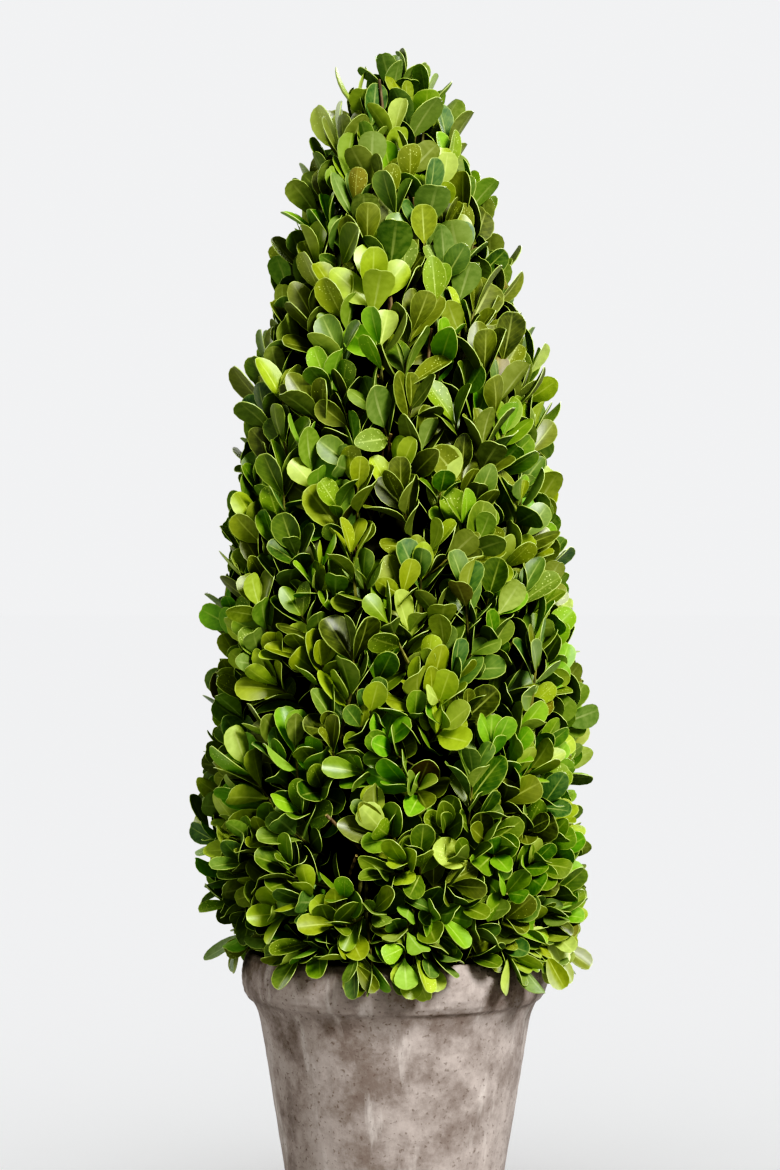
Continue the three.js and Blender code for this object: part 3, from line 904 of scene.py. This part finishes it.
sprigs = []
for ring, (z, count, tilt) in enumerate(SKIRT_RINGS):
    for i in range(count):
        azimuth = 2 * math.pi * (i + ring / 2) / count + rng.uniform(-RING_STRAY, RING_STRAY)
        sprigs.append(make_sprig(azimuth, z, tilt))
for i, z in enumerate(heights_by_area(SPRIG_COUNT)):
    if not in_hollow(i * GOLDEN_ANGLE, z):
        sprigs.append(make_sprig(i * GOLDEN_ANGLE, float(z), sprig_tilt(z)))
for i in range(TOP_SPRIGS):
    azimuth = 2 * math.pi * i / TOP_SPRIGS
    along = direction(azimuth, math.radians(TOP_TILT))
    end = direction(azimuth, 0) * TOP_APART + np.array([0, 0, TIP_HEIGHT - TIP_REACH - TOP_STEP * i])
    foot = np.array([0, 0, CORE_TIP - TOP_FOOT])
    path = dict(end=end, along=along, elbow=(foot + end) / 2, foot=foot)
    sprigs.append(dict(path, turn=TOP_TWIST * i, azimuth=azimuth, proud=0.0))
print(len(sprigs), "sprigs")

# %% [markdown]
# ## Tubes of wood
# Twigs and boughs are round and taper. Hundreds of them are made fastest as arrays: rings of points round
# a path, joined by quads and closed at both ends. Five sides are round enough for a millimetre of wood.

# %% Tubes from arrays
def tube_part(path, radii, sides=5, end_slot=0):
    """A closed tapering tube round a path, in mm. The face at its end may have its own material."""
    path = np.array(path, float)
    ways = np.gradient(path, axis=0)
    ways /= np.linalg.norm(ways, axis=1)[:, None]
    aside = np.array([1.0, 0, 0]) if abs(ways[0][2]) > 0.8 else np.array([0, 0, 1.0])
    first = np.cross(ways, aside)
    first /= np.linalg.norm(first, axis=1)[:, None]
    second = np.cross(ways, first)
    angles = 2 * np.pi * np.arange(sides) / sides
    ring = np.cos(angles)[None, :, None] * first[:, None] + np.sin(angles)[None, :, None] * second[:, None]
    points = (path[:, None] + ring * np.array(radii)[:, None, None]).reshape(-1, 3)
    last = (len(path) - 1) * sides
    faces = [
        (r + s, r + (s + 1) % sides, r + (s + 1) % sides + sides, r + s + sides)
        for r in range(0, last, sides)
        for s in range(sides)
    ]
    counts = [4] * len(faces) + [sides, sides]
    corners = [i for face in faces for i in face]
    corners += list(range(sides - 1, -1, -1)) + list(range(last, last + sides))
    slots = [0] * (len(counts) - 1) + [end_slot]
    return dict(points=points, counts=np.array(counts), corners=np.array(corners), slots=np.array(slots))


trial = tube_part([(0, 0, 0), (0, 0, 5), (0, 0, 9)], [1, 1, 0.5])
print("a tube of three rings has", len(trial["counts"]), "faces")

# %% [markdown]
# ## The twigs' paths
# Each sprig's twig runs from the core to its last pair of leaves. It leaves the core as the rule says,
# bends up, and tapers to a millimetre. The twigs are laid out before the leaves, so that the leaves can
# keep clear of them.

# %% Twig tubes
TWIG_RADII = [1.15, 1.05, 0.9, 0.75, 0.5]
TWIG_BOW = 1.0


def surface_of(part):
    """A search tree of a part's faces, which tells whether it crosses another."""
    faces = np.split(part["corners"], np.cumsum(part["counts"])[:-1])
    return BVHTree.FromPolygons(part["points"].tolist(), [face.tolist() for face in faces])


def twig_part(sprig):
    """A twig from the core to the sprig's end, a little bowed on its way to the elbow."""
    foot, end, elbow, along = sprig["foot"], sprig["end"], sprig["elbow"], sprig["along"]
    bow = rng.normal(0, TWIG_BOW, 3)
    path = [foot, (foot + elbow) / 2 + bow, elbow, (elbow + end) / 2, end]
    return tube_part(path, TWIG_RADII)


twig_parts = [twig_part(sprig) for sprig in sprigs]
twig_surfaces = [surface_of(part) for part in twig_parts]
twig_middles = np.array([sprig["end"] - sprig["along"] * YOUNG_PART / 2 for sprig in sprigs])
print(len(twig_parts), "twigs of", len(twig_parts[0]["counts"]), "faces")

# %% [markdown]
# ## The place of one leaf
# A leaf grows from one side of its twig, leans away from it by the pair's spread, and shows its upper
# face to the twig's tip. Half of the leaves that would turn their backs outwards twist their stalks, and
# all but those that face well away from the light turn a little to it.

# %% Leaf frame
LIGHT_TURN, LIGHT_TILT = 0.22, 50
TWISTED_SHARE = 0.5
BACK_TURNED, AWAY_FROM_LIGHT = -0.2, -0.5
STRAY_TURN, STRAY_SPREAD, STRAY_ROLL = 12, 9, 30
STRAY_BACK, STALK_OUT = 0.6, 0.35


def unit(v):
    return v / np.linalg.norm(v)


def leaf_frame(sprig, pair, side, stray):
    """Base point and axes (across, along, face) of a leaf. stray widens the chance in its angles."""
    along = sprig["along"]
    aside = np.array([1.0, 0, 0]) if abs(along[2]) > 0.9 else np.array([0, 0, 1.0])
    first = unit(np.cross(along, aside))
    second = np.cross(along, first)
    angle = sprig["turn"] + math.pi * side + math.pi / 2 * pair
    angle += math.radians(rng.uniform(-STRAY_TURN, STRAY_TURN) * stray)
    out = first * math.cos(angle) + second * math.sin(angle)
    spread = math.radians(PAIRS[pair]["spread"] + rng.uniform(-STRAY_SPREAD, STRAY_SPREAD) * stray)
    way = along * math.cos(spread) + out * math.sin(spread)
    face = along * math.sin(spread) - out * math.cos(spread)
    if face @ direction(sprig["azimuth"], 0) < BACK_TURNED and rng.random() < TWISTED_SHARE:
        face = -face
    light = direction(sprig["azimuth"], math.radians(LIGHT_TILT))
    light = light - way * (light @ way)
    face = unit(face + LIGHT_TURN * light * (1 if face @ light > AWAY_FROM_LIGHT else 0))
    roll = math.radians(rng.uniform(-STRAY_ROLL, STRAY_ROLL) * stray)
    face = face * math.cos(roll) + np.cross(way, face) * math.sin(roll)
    back = PAIRS[pair]["back"] + rng.uniform(-STRAY_BACK, STRAY_BACK)
    base = sprig["end"] - along * back + out * STALK_OUT
    return base, np.stack([np.cross(way, face), way, face])


base, axes = leaf_frame(first, 0, 0, 0)
print("the first leaf points", [round(float(v), 2) for v in axes[1]])

# %% [markdown]
# ## Placing the leaves
# Leaves on a real plant push each other aside. Here each leaf tries a few places round its own, and takes
# the first where it crosses no other leaf, doesn't dip into the pot and keeps to the clipped surface. The
# outer pairs go first, so the ones that show get the best places, and they may touch one thing, since a
# spray has to look full. A leaf that finds no such place is left off. The picture's leaves are larger in
# the upper half, so these are too.

# %% A leaf's stand-in
PROXY_COLUMNS = (0, 2, 4)
PROXY_MIDDLE = 7
proxy_rows = range(1, len(LEAF_ROWS))
proxy_points = [row * LEAF_COLUMNS + column for row in proxy_rows for column in PROXY_COLUMNS]
proxy_corners = [3 * row + column for row in range(len(proxy_rows) - 1) for column in (0, 1)]
proxy_faces = [(i, i + 1, i + 4, i + 3) for i in proxy_corners]
proxies = [arrays["points"][proxy_points] for arrays in leaf_arrays]
print("a stand-in of", len(proxy_faces), "faces is enough to tell whether leaves cross")

# %% Is the place free
BESIDE_RIM, ABOVE_RIM = 1.3, 1
POT_CLEAR = RIM_MIDDLE[0] + RIM_WIDE + BESIDE_RIM
SKIRT_END, PAST_TIP = 105.0, 3.5
IN_POT, TOO_HIGH = 10, 4
LEAF_NEAR = 24.0
TWIG_NEAR = 26.0

middles = np.zeros((len(sprigs) * len(PAIRS) * 2, 3))
placed = []
leaves = []


def misfit(points, proud):
    """Penalties for a leaf that breaks into the pot or out of the clipped surface."""
    x, y, z = points.T
    radii = np.hypot(x, y)
    in_pot = int(((z < POT_HEIGHT + ABOVE_RIM) & (radii < POT_CLEAR)).any())
    surface = crown_radius(np.clip(z, CROWN_FOOT, TIP_HEIGHT - 1))
    outside = int((radii - surface > proud).any()) + int((z < SKIRT_END).any())
    return IN_POT * in_pot + outside + TOO_HIGH * int((z > TIP_HEIGHT + PAST_TIP).any())


def nearby(places, middle, reach):
    """The numbers of the places that lie within a reach of a point."""
    return np.nonzero(((places - middle) ** 2).sum(1) < reach**2)[0]


def crossings(middle, surface):
    """How many leaves and twigs a leaf goes through."""
    close_leaves = nearby(middles[: len(leaves)], middle, LEAF_NEAR)
    close_twigs = nearby(twig_middles, middle, TWIG_NEAR)
    through = sum(1 for i in close_leaves if surface.overlap(placed[i]))
    return through + sum(1 for i in close_twigs if surface.overlap(twig_surfaces[i]))


print("near the tip,", len(nearby(twig_middles, np.array([0, 0, CORE_TIP]), TWIG_NEAR)), "twigs are close")

# %% Trying places
LEAF_TRIES = 12
SHRINK, WIDER = 0.985, 0.25
SIZE_SPREAD, SLIM_SPREAD = (0.82, 1.15), (0.88, 1.06)
SMALL_SHARE, SMALL = 0.05, (0.5, 0.7)
SIZE_HEIGHTS, SIZES = [200, 300, 420, TIP_HEIGHT], [1.0, 1.03, 1.16, 1.10]
ROOM_OUTSIDE, ROOM_CHANCES = [1.5, 3.0, 4.5], [0.45, 0.4, 0.15]


def try_leaf(sprig, pair, side):
    """The best of a few places for a leaf, with its score: 0 is free of everything."""
    size = PAIRS[pair]["size"] * rng.uniform(*SIZE_SPREAD)
    size *= float(np.interp(sprig["end"][2], SIZE_HEIGHTS, SIZES))
    if rng.random() < SMALL_SHARE:
        size *= rng.uniform(*SMALL)
    scale = size * np.array([rng.uniform(*SLIM_SPREAD), 1, 1])
    kind = int(rng.integers(len(leaf_arrays)))
    proud = sprig["proud"] + rng.choice(ROOM_OUTSIDE, p=ROOM_CHANCES)
    best = dict(score=math.inf)
    for attempt in range(LEAF_TRIES):
        base, axes = leaf_frame(sprig, pair, side, 1 + WIDER * attempt)
        scale = scale * SHRINK
        points = base + (proxies[kind] * scale) @ axes
        middle = points[PROXY_MIDDLE]
        surface = BVHTree.FromPolygons(points.tolist(), proxy_faces)
        score = misfit(points, proud)
        if score < IN_POT:
            score += crossings(middle, surface)
        if score < best["score"]:
            best = dict(score=score, kind=kind, base=base, axes=axes, scale=scale)
            best.update(middle=middle, surface=surface)
        if score == 0:
            break
    return best


trial = try_leaf(first, 0, 0)
print("a first leaf alone scores", trial["score"])

# %% Placing all leaves
OUTER_PAIRS, MAY_TOUCH = 3, 1

left_off = 0
for pair in range(len(PAIRS)):
    for number, sprig in enumerate(sprigs):
        for side in (0, 1):
            leaf = try_leaf(sprig, pair, side)
            if leaf["score"] > (MAY_TOUCH if pair < OUTER_PAIRS else 0):
                left_off += 1
                continue
            middles[len(leaves)] = leaf["middle"]
            placed.append(leaf.pop("surface"))
            leaves.append(dict(leaf, sprig=number, pair=pair))
touching = sum(leaf["score"] > 0 for leaf in leaves)
print(len(leaves), "leaves,", left_off, "left off,", touching, "touch something")

# %% [markdown]
# ## Leaf colours
# Boxwood isn't one green. Old leaves are deep and bluish, young ones yellow-green, shaded ones olive, and
# a few have browned. Each spray is dealt one plain tint. Painted light makes the tints a little lighter on
# the right, and painted shade makes them deeper in the upper half. A spray's youngest leaves are often two
# shades lighter. The leaves of one tint become one mesh.

# %% Tints
TINTS = [
    ("dark_olive", "#2b330a", 0.06),
    ("deep", "#233e08", 0.22),
    ("bluish", "#33502a", 0.34),
    ("mid", "#3a5c0e", 0.46),
    ("olive", "#5a6610", 0.58),
    ("fresh", "#4f7f1c", 0.68),
    ("lime", "#728624", 0.84),
    ("pale", "#859648", 0.97),
    ("browned", "#473313", 9.0),
]
BROWNED = len(TINTS) - 1
print("tints from dark to light:", ", ".join(name for name, _, _ in TINTS[:BROWNED]))

# %% Dealing out the tints
CELLS = 4
# The lighter right side is painted light, and the deeper upper half is painted shade.
BRIGHTNESS, PAINTED_LIGHT_RIGHT, PATCHES, CHANCE = 0.41, 0.02, 0.20, 0.26
PAINTED_SHADE_FROM, PAINTED_SHADE_TO, PAINTED_SHADE_HIGH = 320, 450, 0.24
PATCH_SIZE, PATCH_PLACE = 55.0, Vector((11, 5, 3))
BROWNED_SHARE, YOUNG_SHARE, OLD_SHARE, ODD_SHARE = 0.012, 0.30, 0.35, 0.06


def spray_tint(sprig):
    """The number of the tint whose place on the scale is nearest to the spray's brightness."""
    side = float(sprig["end"][0]) / BELLY_RADIUS
    patch = noise.noise(Vector(sprig["end"] / PATCH_SIZE) + PATCH_PLACE)
    # Painted light lightens the tints on the right, and the next line's painted shade deepens the upper
    # half.
    bright = BRIGHTNESS + PAINTED_LIGHT_RIGHT * side + PATCHES * patch + rng.normal(0, CHANCE)
    bright -= float(np.interp(sprig["end"][2], [PAINTED_SHADE_FROM, PAINTED_SHADE_TO], [0, PAINTED_SHADE_HIGH]))
    return int(np.argmin([abs(place - bright) for _, _, place in TINTS]))


def leaf_tint(spray, pair):
    """A leaf's tint: its spray's, two lighter for some young leaves or one darker for some old ones."""
    chance = rng.random()
    if rng.random() < BROWNED_SHARE:
        return BROWNED
    if pair == 0 and chance < YOUNG_SHARE:
        return min(spray + 2, BROWNED - 1)
    if pair >= 2 and chance < OLD_SHARE:
        return max(spray - 1, 0)
    return int(rng.integers(BROWNED)) if chance > 1 - ODD_SHARE else spray


spray_tints = [spray_tint(sprig) for sprig in sprigs]
for leaf in leaves:
    leaf["tint"] = leaf_tint(spray_tints[leaf["sprig"]], leaf["pair"])
    leaf["cell"] = int(rng.integers(CELLS * CELLS))
for number, (name, _, _) in enumerate(TINTS):
    print(name, sum(leaf["tint"] == number for leaf in leaves), "leaves")

# %% [markdown]
# ## The pattern of a leaf
# Veins, rim and dots follow the blade, so they are drawn on the leaf's own UV square: left to right is
# its width and bottom to top its length. The square is cut into 4 by 4 cells. Leaves of different cells
# get another random number, and so another shade. The left part of a cell is the blade, the right part
# the underside, and a narrow strip between them the rim.

# %% Where on the leaf
CELL_EDGE = 0.02
PART_WIDTH = 0.44
BLADE_MIDDLE, UNDERSIDE_MIDDLE = 0.24, 0.76
RIM_LEFT, RIM_WIDE, RIM_HIGH, RIM_ACROSS = 0.485, 0.03, 0.8, 0.16
LEAVES_HIGH = LEAF_LENGTH * CELLS / (1 - 2 * CELL_EDGE)


def place_on_leaf(tree, middle):
    """Distance from the midrib and way along the leaf, both 0 to 1, the leaf's random number and the UV."""
    half, high = PART_WIDTH / 2, 1 - 2 * CELL_EDGE
    uv = add(tree, "ShaderNodeUVMap", uv_map="OFBake")
    cells = add(tree, "ShaderNodeVectorMath", {0: uv, 1: (CELLS, CELLS, 1)}, operation="MULTIPLY")
    corner = add(tree, "ShaderNodeVectorMath", {0: cells}, operation="FLOOR")
    inside = add(tree, "ShaderNodeVectorMath", {0: cells}, operation="FRACTION")
    zoom, shift = (1 / half, 1 / high, 0), (-middle / half, -CELL_EDGE / high, 0)
    spot = add(tree, "ShaderNodeVectorMath", {0: inside, 1: zoom, 2: shift}, operation="MULTIPLY_ADD")
    spot = add(tree, "ShaderNodeVectorMath", {0: spot}, operation="ABSOLUTE")
    aside = add(tree, "ShaderNodeSeparateXYZ", {0: spot}, out="X")
    along = add(tree, "ShaderNodeSeparateXYZ", {0: spot}, out="Y")
    chance = add(tree, "ShaderNodeTexWhiteNoise", {"Vector": corner}, noise_dimensions="2D")
    return aside, along, chance, uv


def mixed(base, colour, share):
    """A linear colour with a share of another mixed in."""
    return (*[a * (1 - share) + b * share for a, b in zip(base[:3], linear(colour))], 1)


print("the UV square is", round(LEAVES_HIGH), "mm high on the leaf")

# %% [markdown]
# ## The face of a leaf
# The upper face has a thick wax cuticle, pressed smooth by nature, which gives a soft satin gloss. Under
# it the green is mottled in clouds of 3 mm, lighter towards the stalk, with a fine pale midrib and a thin
# cream rim. The real side veins stand closer than the render can show, so they are drawn 2.4 mm apart,
# and so faint that they only soften the green. A few leaves are dusted with pale dots of a millimetre.

# %% Leaf blade
CLOUD_SIZE, DOT_SIZE = 3.2, 1.1
VEINS_APART, VEIN_SLANT = 2.4, -0.29


def leaf_blade(name, colour):
    base = linear(colour)
    material, tree, sockets = new_material("boxwood_leaf_" + name, 0.42, specular=0.4)
    aside, along, chance, uv = place_on_leaf(tree, BLADE_MIDDLE)
    mottle = {"Vector": uv, "Scale": LEAVES_HIGH / CLOUD_SIZE, "Detail": 3.0}
    clouds = add(tree, "ShaderNodeTexNoise", mottle)
    dust = {"Vector": uv, "Scale": LEAVES_HIGH / DOT_SIZE}
    dots = add(tree, "ShaderNodeTexVoronoi", dust, out="Distance")
    slanted = add(tree, "ShaderNodeMath", {0: aside, 1: VEIN_SLANT, 2: along}, operation="MULTIPLY_ADD")
    per_leaf = 2 * math.pi * LEAF_LENGTH / VEINS_APART
    waves = add(tree, "ShaderNodeMath", {0: slanted, 1: per_leaf}, operation="MULTIPLY")
    veins = add(tree, "ShaderNodeMath", {0: waves}, operation="SINE")
    fading = {"Value": along, "From Min": 0.35, "From Max": 0.97, "To Min": 0.5, "To Max": 0.04}
    rib = add(tree, "ShaderNodeMapRange", fading)
    few = {"Value": chance, "From Min": 0.86, "From Max": 0.87, "To Min": 0.0, "To Max": 0.7}
    dusted = add(tree, "ShaderNodeMapRange", few)
    coats = [
        (mixed(base, "#c8d060", 0.05), clouds, 0.3, 0.7, 1.0),
        (mixed(base, "#a9b53a", 0.45), chance, 0.0, 1.0, 0.38),
        (mixed(base, "#a9b53a", 0.5), along, 0.28, 0.0, 0.35),
        (mixed(base, "#b9c65a", 0.5), veins, 0.5, 1.0, 0.06),
        (mixed(base, "#c9d47a", 0.65), aside, 0.09, 0.03, rib),
        (linear("#a3b25e"), aside, 0.93, 0.98, 0.4),
        (linear("#a3b25e"), along, 0.97, 0.99, 0.4),
        (linear("#c4d07c"), dots, 0.2, 0.13, dusted),
    ]
    tree.links.new(coated(tree, mixed(base, "#000000", 0.22), coats), sockets["Base Color"])
    return material


print("a leaf's length holds", round(LEAF_LENGTH / VEINS_APART), "side veins")

# %% [markdown]
# ## The underside and the rim
# The underside has no wax, only a pale bloom, so it is duller and greyer than the face, with a midrib
# that stands out paler. The rim is a thickened, cartilage-like edge, a shade paler than the leaf.

# %% Leaf underside
BLOOM_SIZE = 2.5


def leaf_underside(name, colour):
    base = mixed(linear(colour), "#6f8438", 0.2)
    material, tree, sockets = new_material("boxwood_underside_" + name, 0.55, specular=0.22)
    aside, along, chance, uv = place_on_leaf(tree, UNDERSIDE_MIDDLE)
    bloom = {"Vector": uv, "Scale": LEAVES_HIGH / BLOOM_SIZE, "Detail": 3.0}
    clouds = add(tree, "ShaderNodeTexNoise", bloom)
    fading = {"Value": along, "From Min": 0.4, "From Max": 1.0, "To Min": 0.32, "To Max": 0.03}
    rib = add(tree, "ShaderNodeMapRange", fading)
    coats = [
        (mixed(base, "#d8e090", 0.05), clouds, 0.3, 0.7, 1.0),
        (mixed(base, "#b4bd62", 0.5), chance, 0.0, 1.0, 0.3),
        (mixed(base, "#cdd68f", 0.6), aside, 0.12, 0.04, rib),
    ]
    tree.links.new(coated(tree, mixed(base, "#000000", 0.16), coats), sockets["Base Color"])
    return material


print("the bloom of an underside lies in patches of", BLOOM_SIZE, "mm")

# %% Leaf rim
RIM_SPOT_SIZE = 3

leaf_rim, tree, sockets = new_material("leaf_rim", 0.5)
uv = add(tree, "ShaderNodeUVMap", uv_map="OFBake")
spots = add(tree, "ShaderNodeTexNoise", {"Vector": uv, "Scale": LEAVES_HIGH / RIM_SPOT_SIZE})
tree.links.new(coat(tree, linear("#7a8944"), linear("#92a158"), spots, 0.35, 0.65), sockets["Base Color"])
print("the rim is a leaf's", LEAF_THICK, "mm thickness")

# %% [markdown]
# ## Joining the leaves
# Thousands of separate objects would be slow, so the copies are joined as arrays: the chosen leaf shape
# is turned and moved to its place, and all points and faces of one tint go into one mesh.

# %% Joined meshes
def joined_mesh(name, parts):
    """One mesh from parts with points (mm), counts, corners, slots and uv."""
    joined = {key: np.concatenate([part[key] for part in parts]) for key in parts[0]}
    shifts = np.cumsum([0] + [len(part["points"]) for part in parts[:-1]])
    corners = joined["corners"] + np.repeat(shifts, [len(part["corners"]) for part in parts])
    starts = np.cumsum(joined["counts"]) - joined["counts"]
    mesh = bpy.data.meshes.new(name)
    mesh.vertices.add(len(joined["points"]))
    mesh.vertices.foreach_set("co", (joined["points"] * MM).astype(np.float32).ravel())
    mesh.loops.add(len(corners))
    mesh.loops.foreach_set("vertex_index", corners.astype(np.int32))
    mesh.polygons.add(len(starts))
    mesh.polygons.foreach_set("loop_start", starts.astype(np.int32))
    mesh.polygons.foreach_set("material_index", joined["slots"].astype(np.int32))
    if "uv" in joined:
        mesh.uv_layers.new(name="OFBake").data.foreach_set("uv", joined["uv"].astype(np.float32).ravel())
    mesh.update(calc_edges=True)
    mesh.validate()
    piece = bpy.data.objects.new(name, mesh)
    bpy.context.collection.objects.link(piece)
    return piece


print("leaves will be joined in", len({leaf["tint"] for leaf in leaves}), "meshes")


# %% The leaves as meshes
def leaf_part(leaf):
    """A copy of a leaf shape in its place, with its UVs moved into its cell."""
    arrays = leaf_arrays[leaf["kind"]]
    points = leaf["base"] + (arrays["points"] * leaf["scale"]) @ leaf["axes"]
    slots = np.repeat(arrays["slots"], arrays["counts"])
    u, v = arrays["uv"].T
    lower = arrays["corners"] >= LEAF_COLUMNS * len(LEAF_ROWS)
    left = np.array([BLADE_MIDDLE, UNDERSIDE_MIDDLE, UNDERSIDE_MIDDLE])[slots] - PART_WIDTH / 2
    across = np.where(slots == 2, RIM_LEFT + RIM_WIDE * lower, left + PART_WIDTH * u)
    up = np.where(slots == 2, RIM_HIGH * v + RIM_ACROSS * u, (1 - 2 * CELL_EDGE) * v) + CELL_EDGE
    uv = np.stack([leaf["cell"] % CELLS + across, leaf["cell"] // CELLS + up], axis=1) / CELLS
    return dict(arrays, points=points, uv=uv)


for number, (name, colour, _) in enumerate(TINTS):
    piece = joined_mesh("leaves_" + name, [leaf_part(leaf) for leaf in leaves if leaf["tint"] == number])
    smooth(piece, 50)
    finish_piece(piece, "crown", "leaves", leaf_blade(name, colour), leaf_underside(name, colour), leaf_rim)

# %% [markdown]
# ## Twigs
# The twigs that the leaves were fitted round become one mesh. Their skin is young bark, smooth, dull and
# olive, with lighter flecks of 6 mm.

# %% Twigs
twigs = joined_mesh("twigs", twig_parts)
smooth(twigs, 60)
flecks = dict(Scale=features(6.2), Detail=3.0)
young_bark = two_tone("young_twig_bark", 0.7, "#343414", "#666430", 0.36, 0.66, **flecks)
finish_piece(twigs, "crown", "leaves", young_bark)

# %% [markdown]
# ## Cut twigs
# Between the sprigs, older twigs that the shears cut off end bluntly, a little below the surface. Their
# ends show the pale yellow wood that boxwood is known for, dense and dull. Its pores are too fine to see,
# so its flecks are drawn 0.7 mm across. The twigs are the same tubes, with six sides and an end of their
# own material.

# %% Cut twigs
STUB_COUNT = 100
STUB_SIDES = 6
STUB_NEAR = 34.0
STUB_HEIGHTS, STUB_DEPTHS, STUB_RADII = (140, 540), (8, 18), (0.8, 1.5)
STUB_TILTS, STUB_TURN, STUB_BOW, STUB_STRAIGHT = (-20, 30), 0.5, 1.5, 4
STUB_TAPER = np.array([1.2, 1.1, 1.0, 0.95])


def stub_part():
    """A twig that ends bluntly a little inside the clipped surface, at a place of chance."""
    z = float(rng.uniform(*STUB_HEIGHTS))
    azimuth = rng.uniform(0, 2 * math.pi)
    tilt = sprig_tilt(z) + rng.uniform(*STUB_TILTS)
    along = direction(azimuth + rng.uniform(-STUB_TURN, STUB_TURN), math.radians(tilt))
    end = direction(azimuth, 0) * (float(crown_radius(z)) + swell(azimuth, z) - rng.uniform(*STUB_DEPTHS))
    end[2] = z
    foot = foot_in_core(end, along)
    radii = rng.uniform(*STUB_RADII) * STUB_TAPER
    path = [foot, (foot + end) / 2 + rng.normal(0, STUB_BOW, 3), end - along * STUB_STRAIGHT, end]
    return tube_part(path, radii, sides=STUB_SIDES, end_slot=1)


stub_parts = []
while len(stub_parts) < STUB_COUNT:
    part = stub_part()
    end = part["points"][-STUB_SIDES:].mean(0)
    surface = surface_of(part)
    if not any(surface.overlap(placed[i]) for i in nearby(middles[: len(leaves)], end, STUB_NEAR)):
        stub_parts.append(part)
stubs = joined_mesh("cut_twigs", stub_parts)
smooth(stubs, 60)
cut_boxwood = two_tone("cut_boxwood", 0.8, "#7b6b40", "#9d8d5c", 0.36, 0.64, Scale=features(0.7))
finish_piece(stubs, "crown", "leaves", boxwood_bark, cut_boxwood)

# %% [markdown]
# ## Boughs
# Inside the core the stem runs on as a leader almost to the tip, and boughs leave it in the same golden
# spiral as the sprigs. They carry the twigs, and hardly show, so plain tubes with the stem's bark do.

# %% Boughs
BOUGH_COUNT = 30
LEADER_FOOT = STEM_FOOT + STEM_HEIGHT
LOWEST_BOUGH, BOUGH_SPAN, BOUGH_REACH, BOUGH_SAG = 172, 330, 0.9, 3.0
BOUGH_STEPS, BOUGH_RADII, BOUGH_SIDES = 6, (3.2, 1.1), 7
BOUGH_AHEAD, LEAST_LEVEL, THICKEST, THINNING = 40, 0.35, 1.15, 0.5
LEADER_STEPS, LEADER_RADII, LEADER_SIDES, LEADER_SHORT = 12, (6.2, 1.4), 10, 12


def leader_at(z):
    """The leader's middle at a height. It rises from the leaning stem's top back to the axis."""
    share = (z - LEADER_FOOT) / (CORE_TIP - LEADER_FOOT)
    return np.array([STEM_LEAN[0] * (1 - share), STEM_LEAN[1] * (1 - share), z])


def bough_part(i):
    """A bough that climbs like the sprigs above it. Boughs get thinner towards the tip."""
    z = LOWEST_BOUGH + BOUGH_SPAN * (i + 0.5) / BOUGH_COUNT
    tilt = math.radians(sprig_tilt(z + BOUGH_AHEAD))
    along = direction(i * GOLDEN_ANGLE, tilt)
    length = float(core_radius(z)) * BOUGH_REACH / max(LEAST_LEVEL, math.cos(tilt))
    sag = np.array([0, 0, -BOUGH_SAG])
    shares = np.linspace(0, 1, BOUGH_STEPS)
    path = [leader_at(z) + along * length * s + sag * math.sin(math.pi * s) for s in shares]
    radii = np.linspace(*BOUGH_RADII, BOUGH_STEPS) * (THICKEST - THINNING * i / BOUGH_COUNT)
    return tube_part(path, radii, sides=BOUGH_SIDES)


levels = np.linspace(LEADER_FOOT + SEAT_GAP, CORE_TIP - LEADER_SHORT, LEADER_STEPS)
leader_radii = np.linspace(*LEADER_RADII, LEADER_STEPS)
leader = tube_part([leader_at(z) for z in levels], leader_radii, sides=LEADER_SIDES)
boughs = joined_mesh("boughs", [leader] + [bough_part(i) for i in range(BOUGH_COUNT)])
smooth(boughs, 60)
finish_piece(boughs, "crown", "leaves", boxwood_bark)

# %% [markdown]
# ## The size
# The dressed plant has to stay in the box of the plain solids, apart from a little that leaves may stand
# proud.

# %% Sizes and finish
bpy.context.view_layer.update()
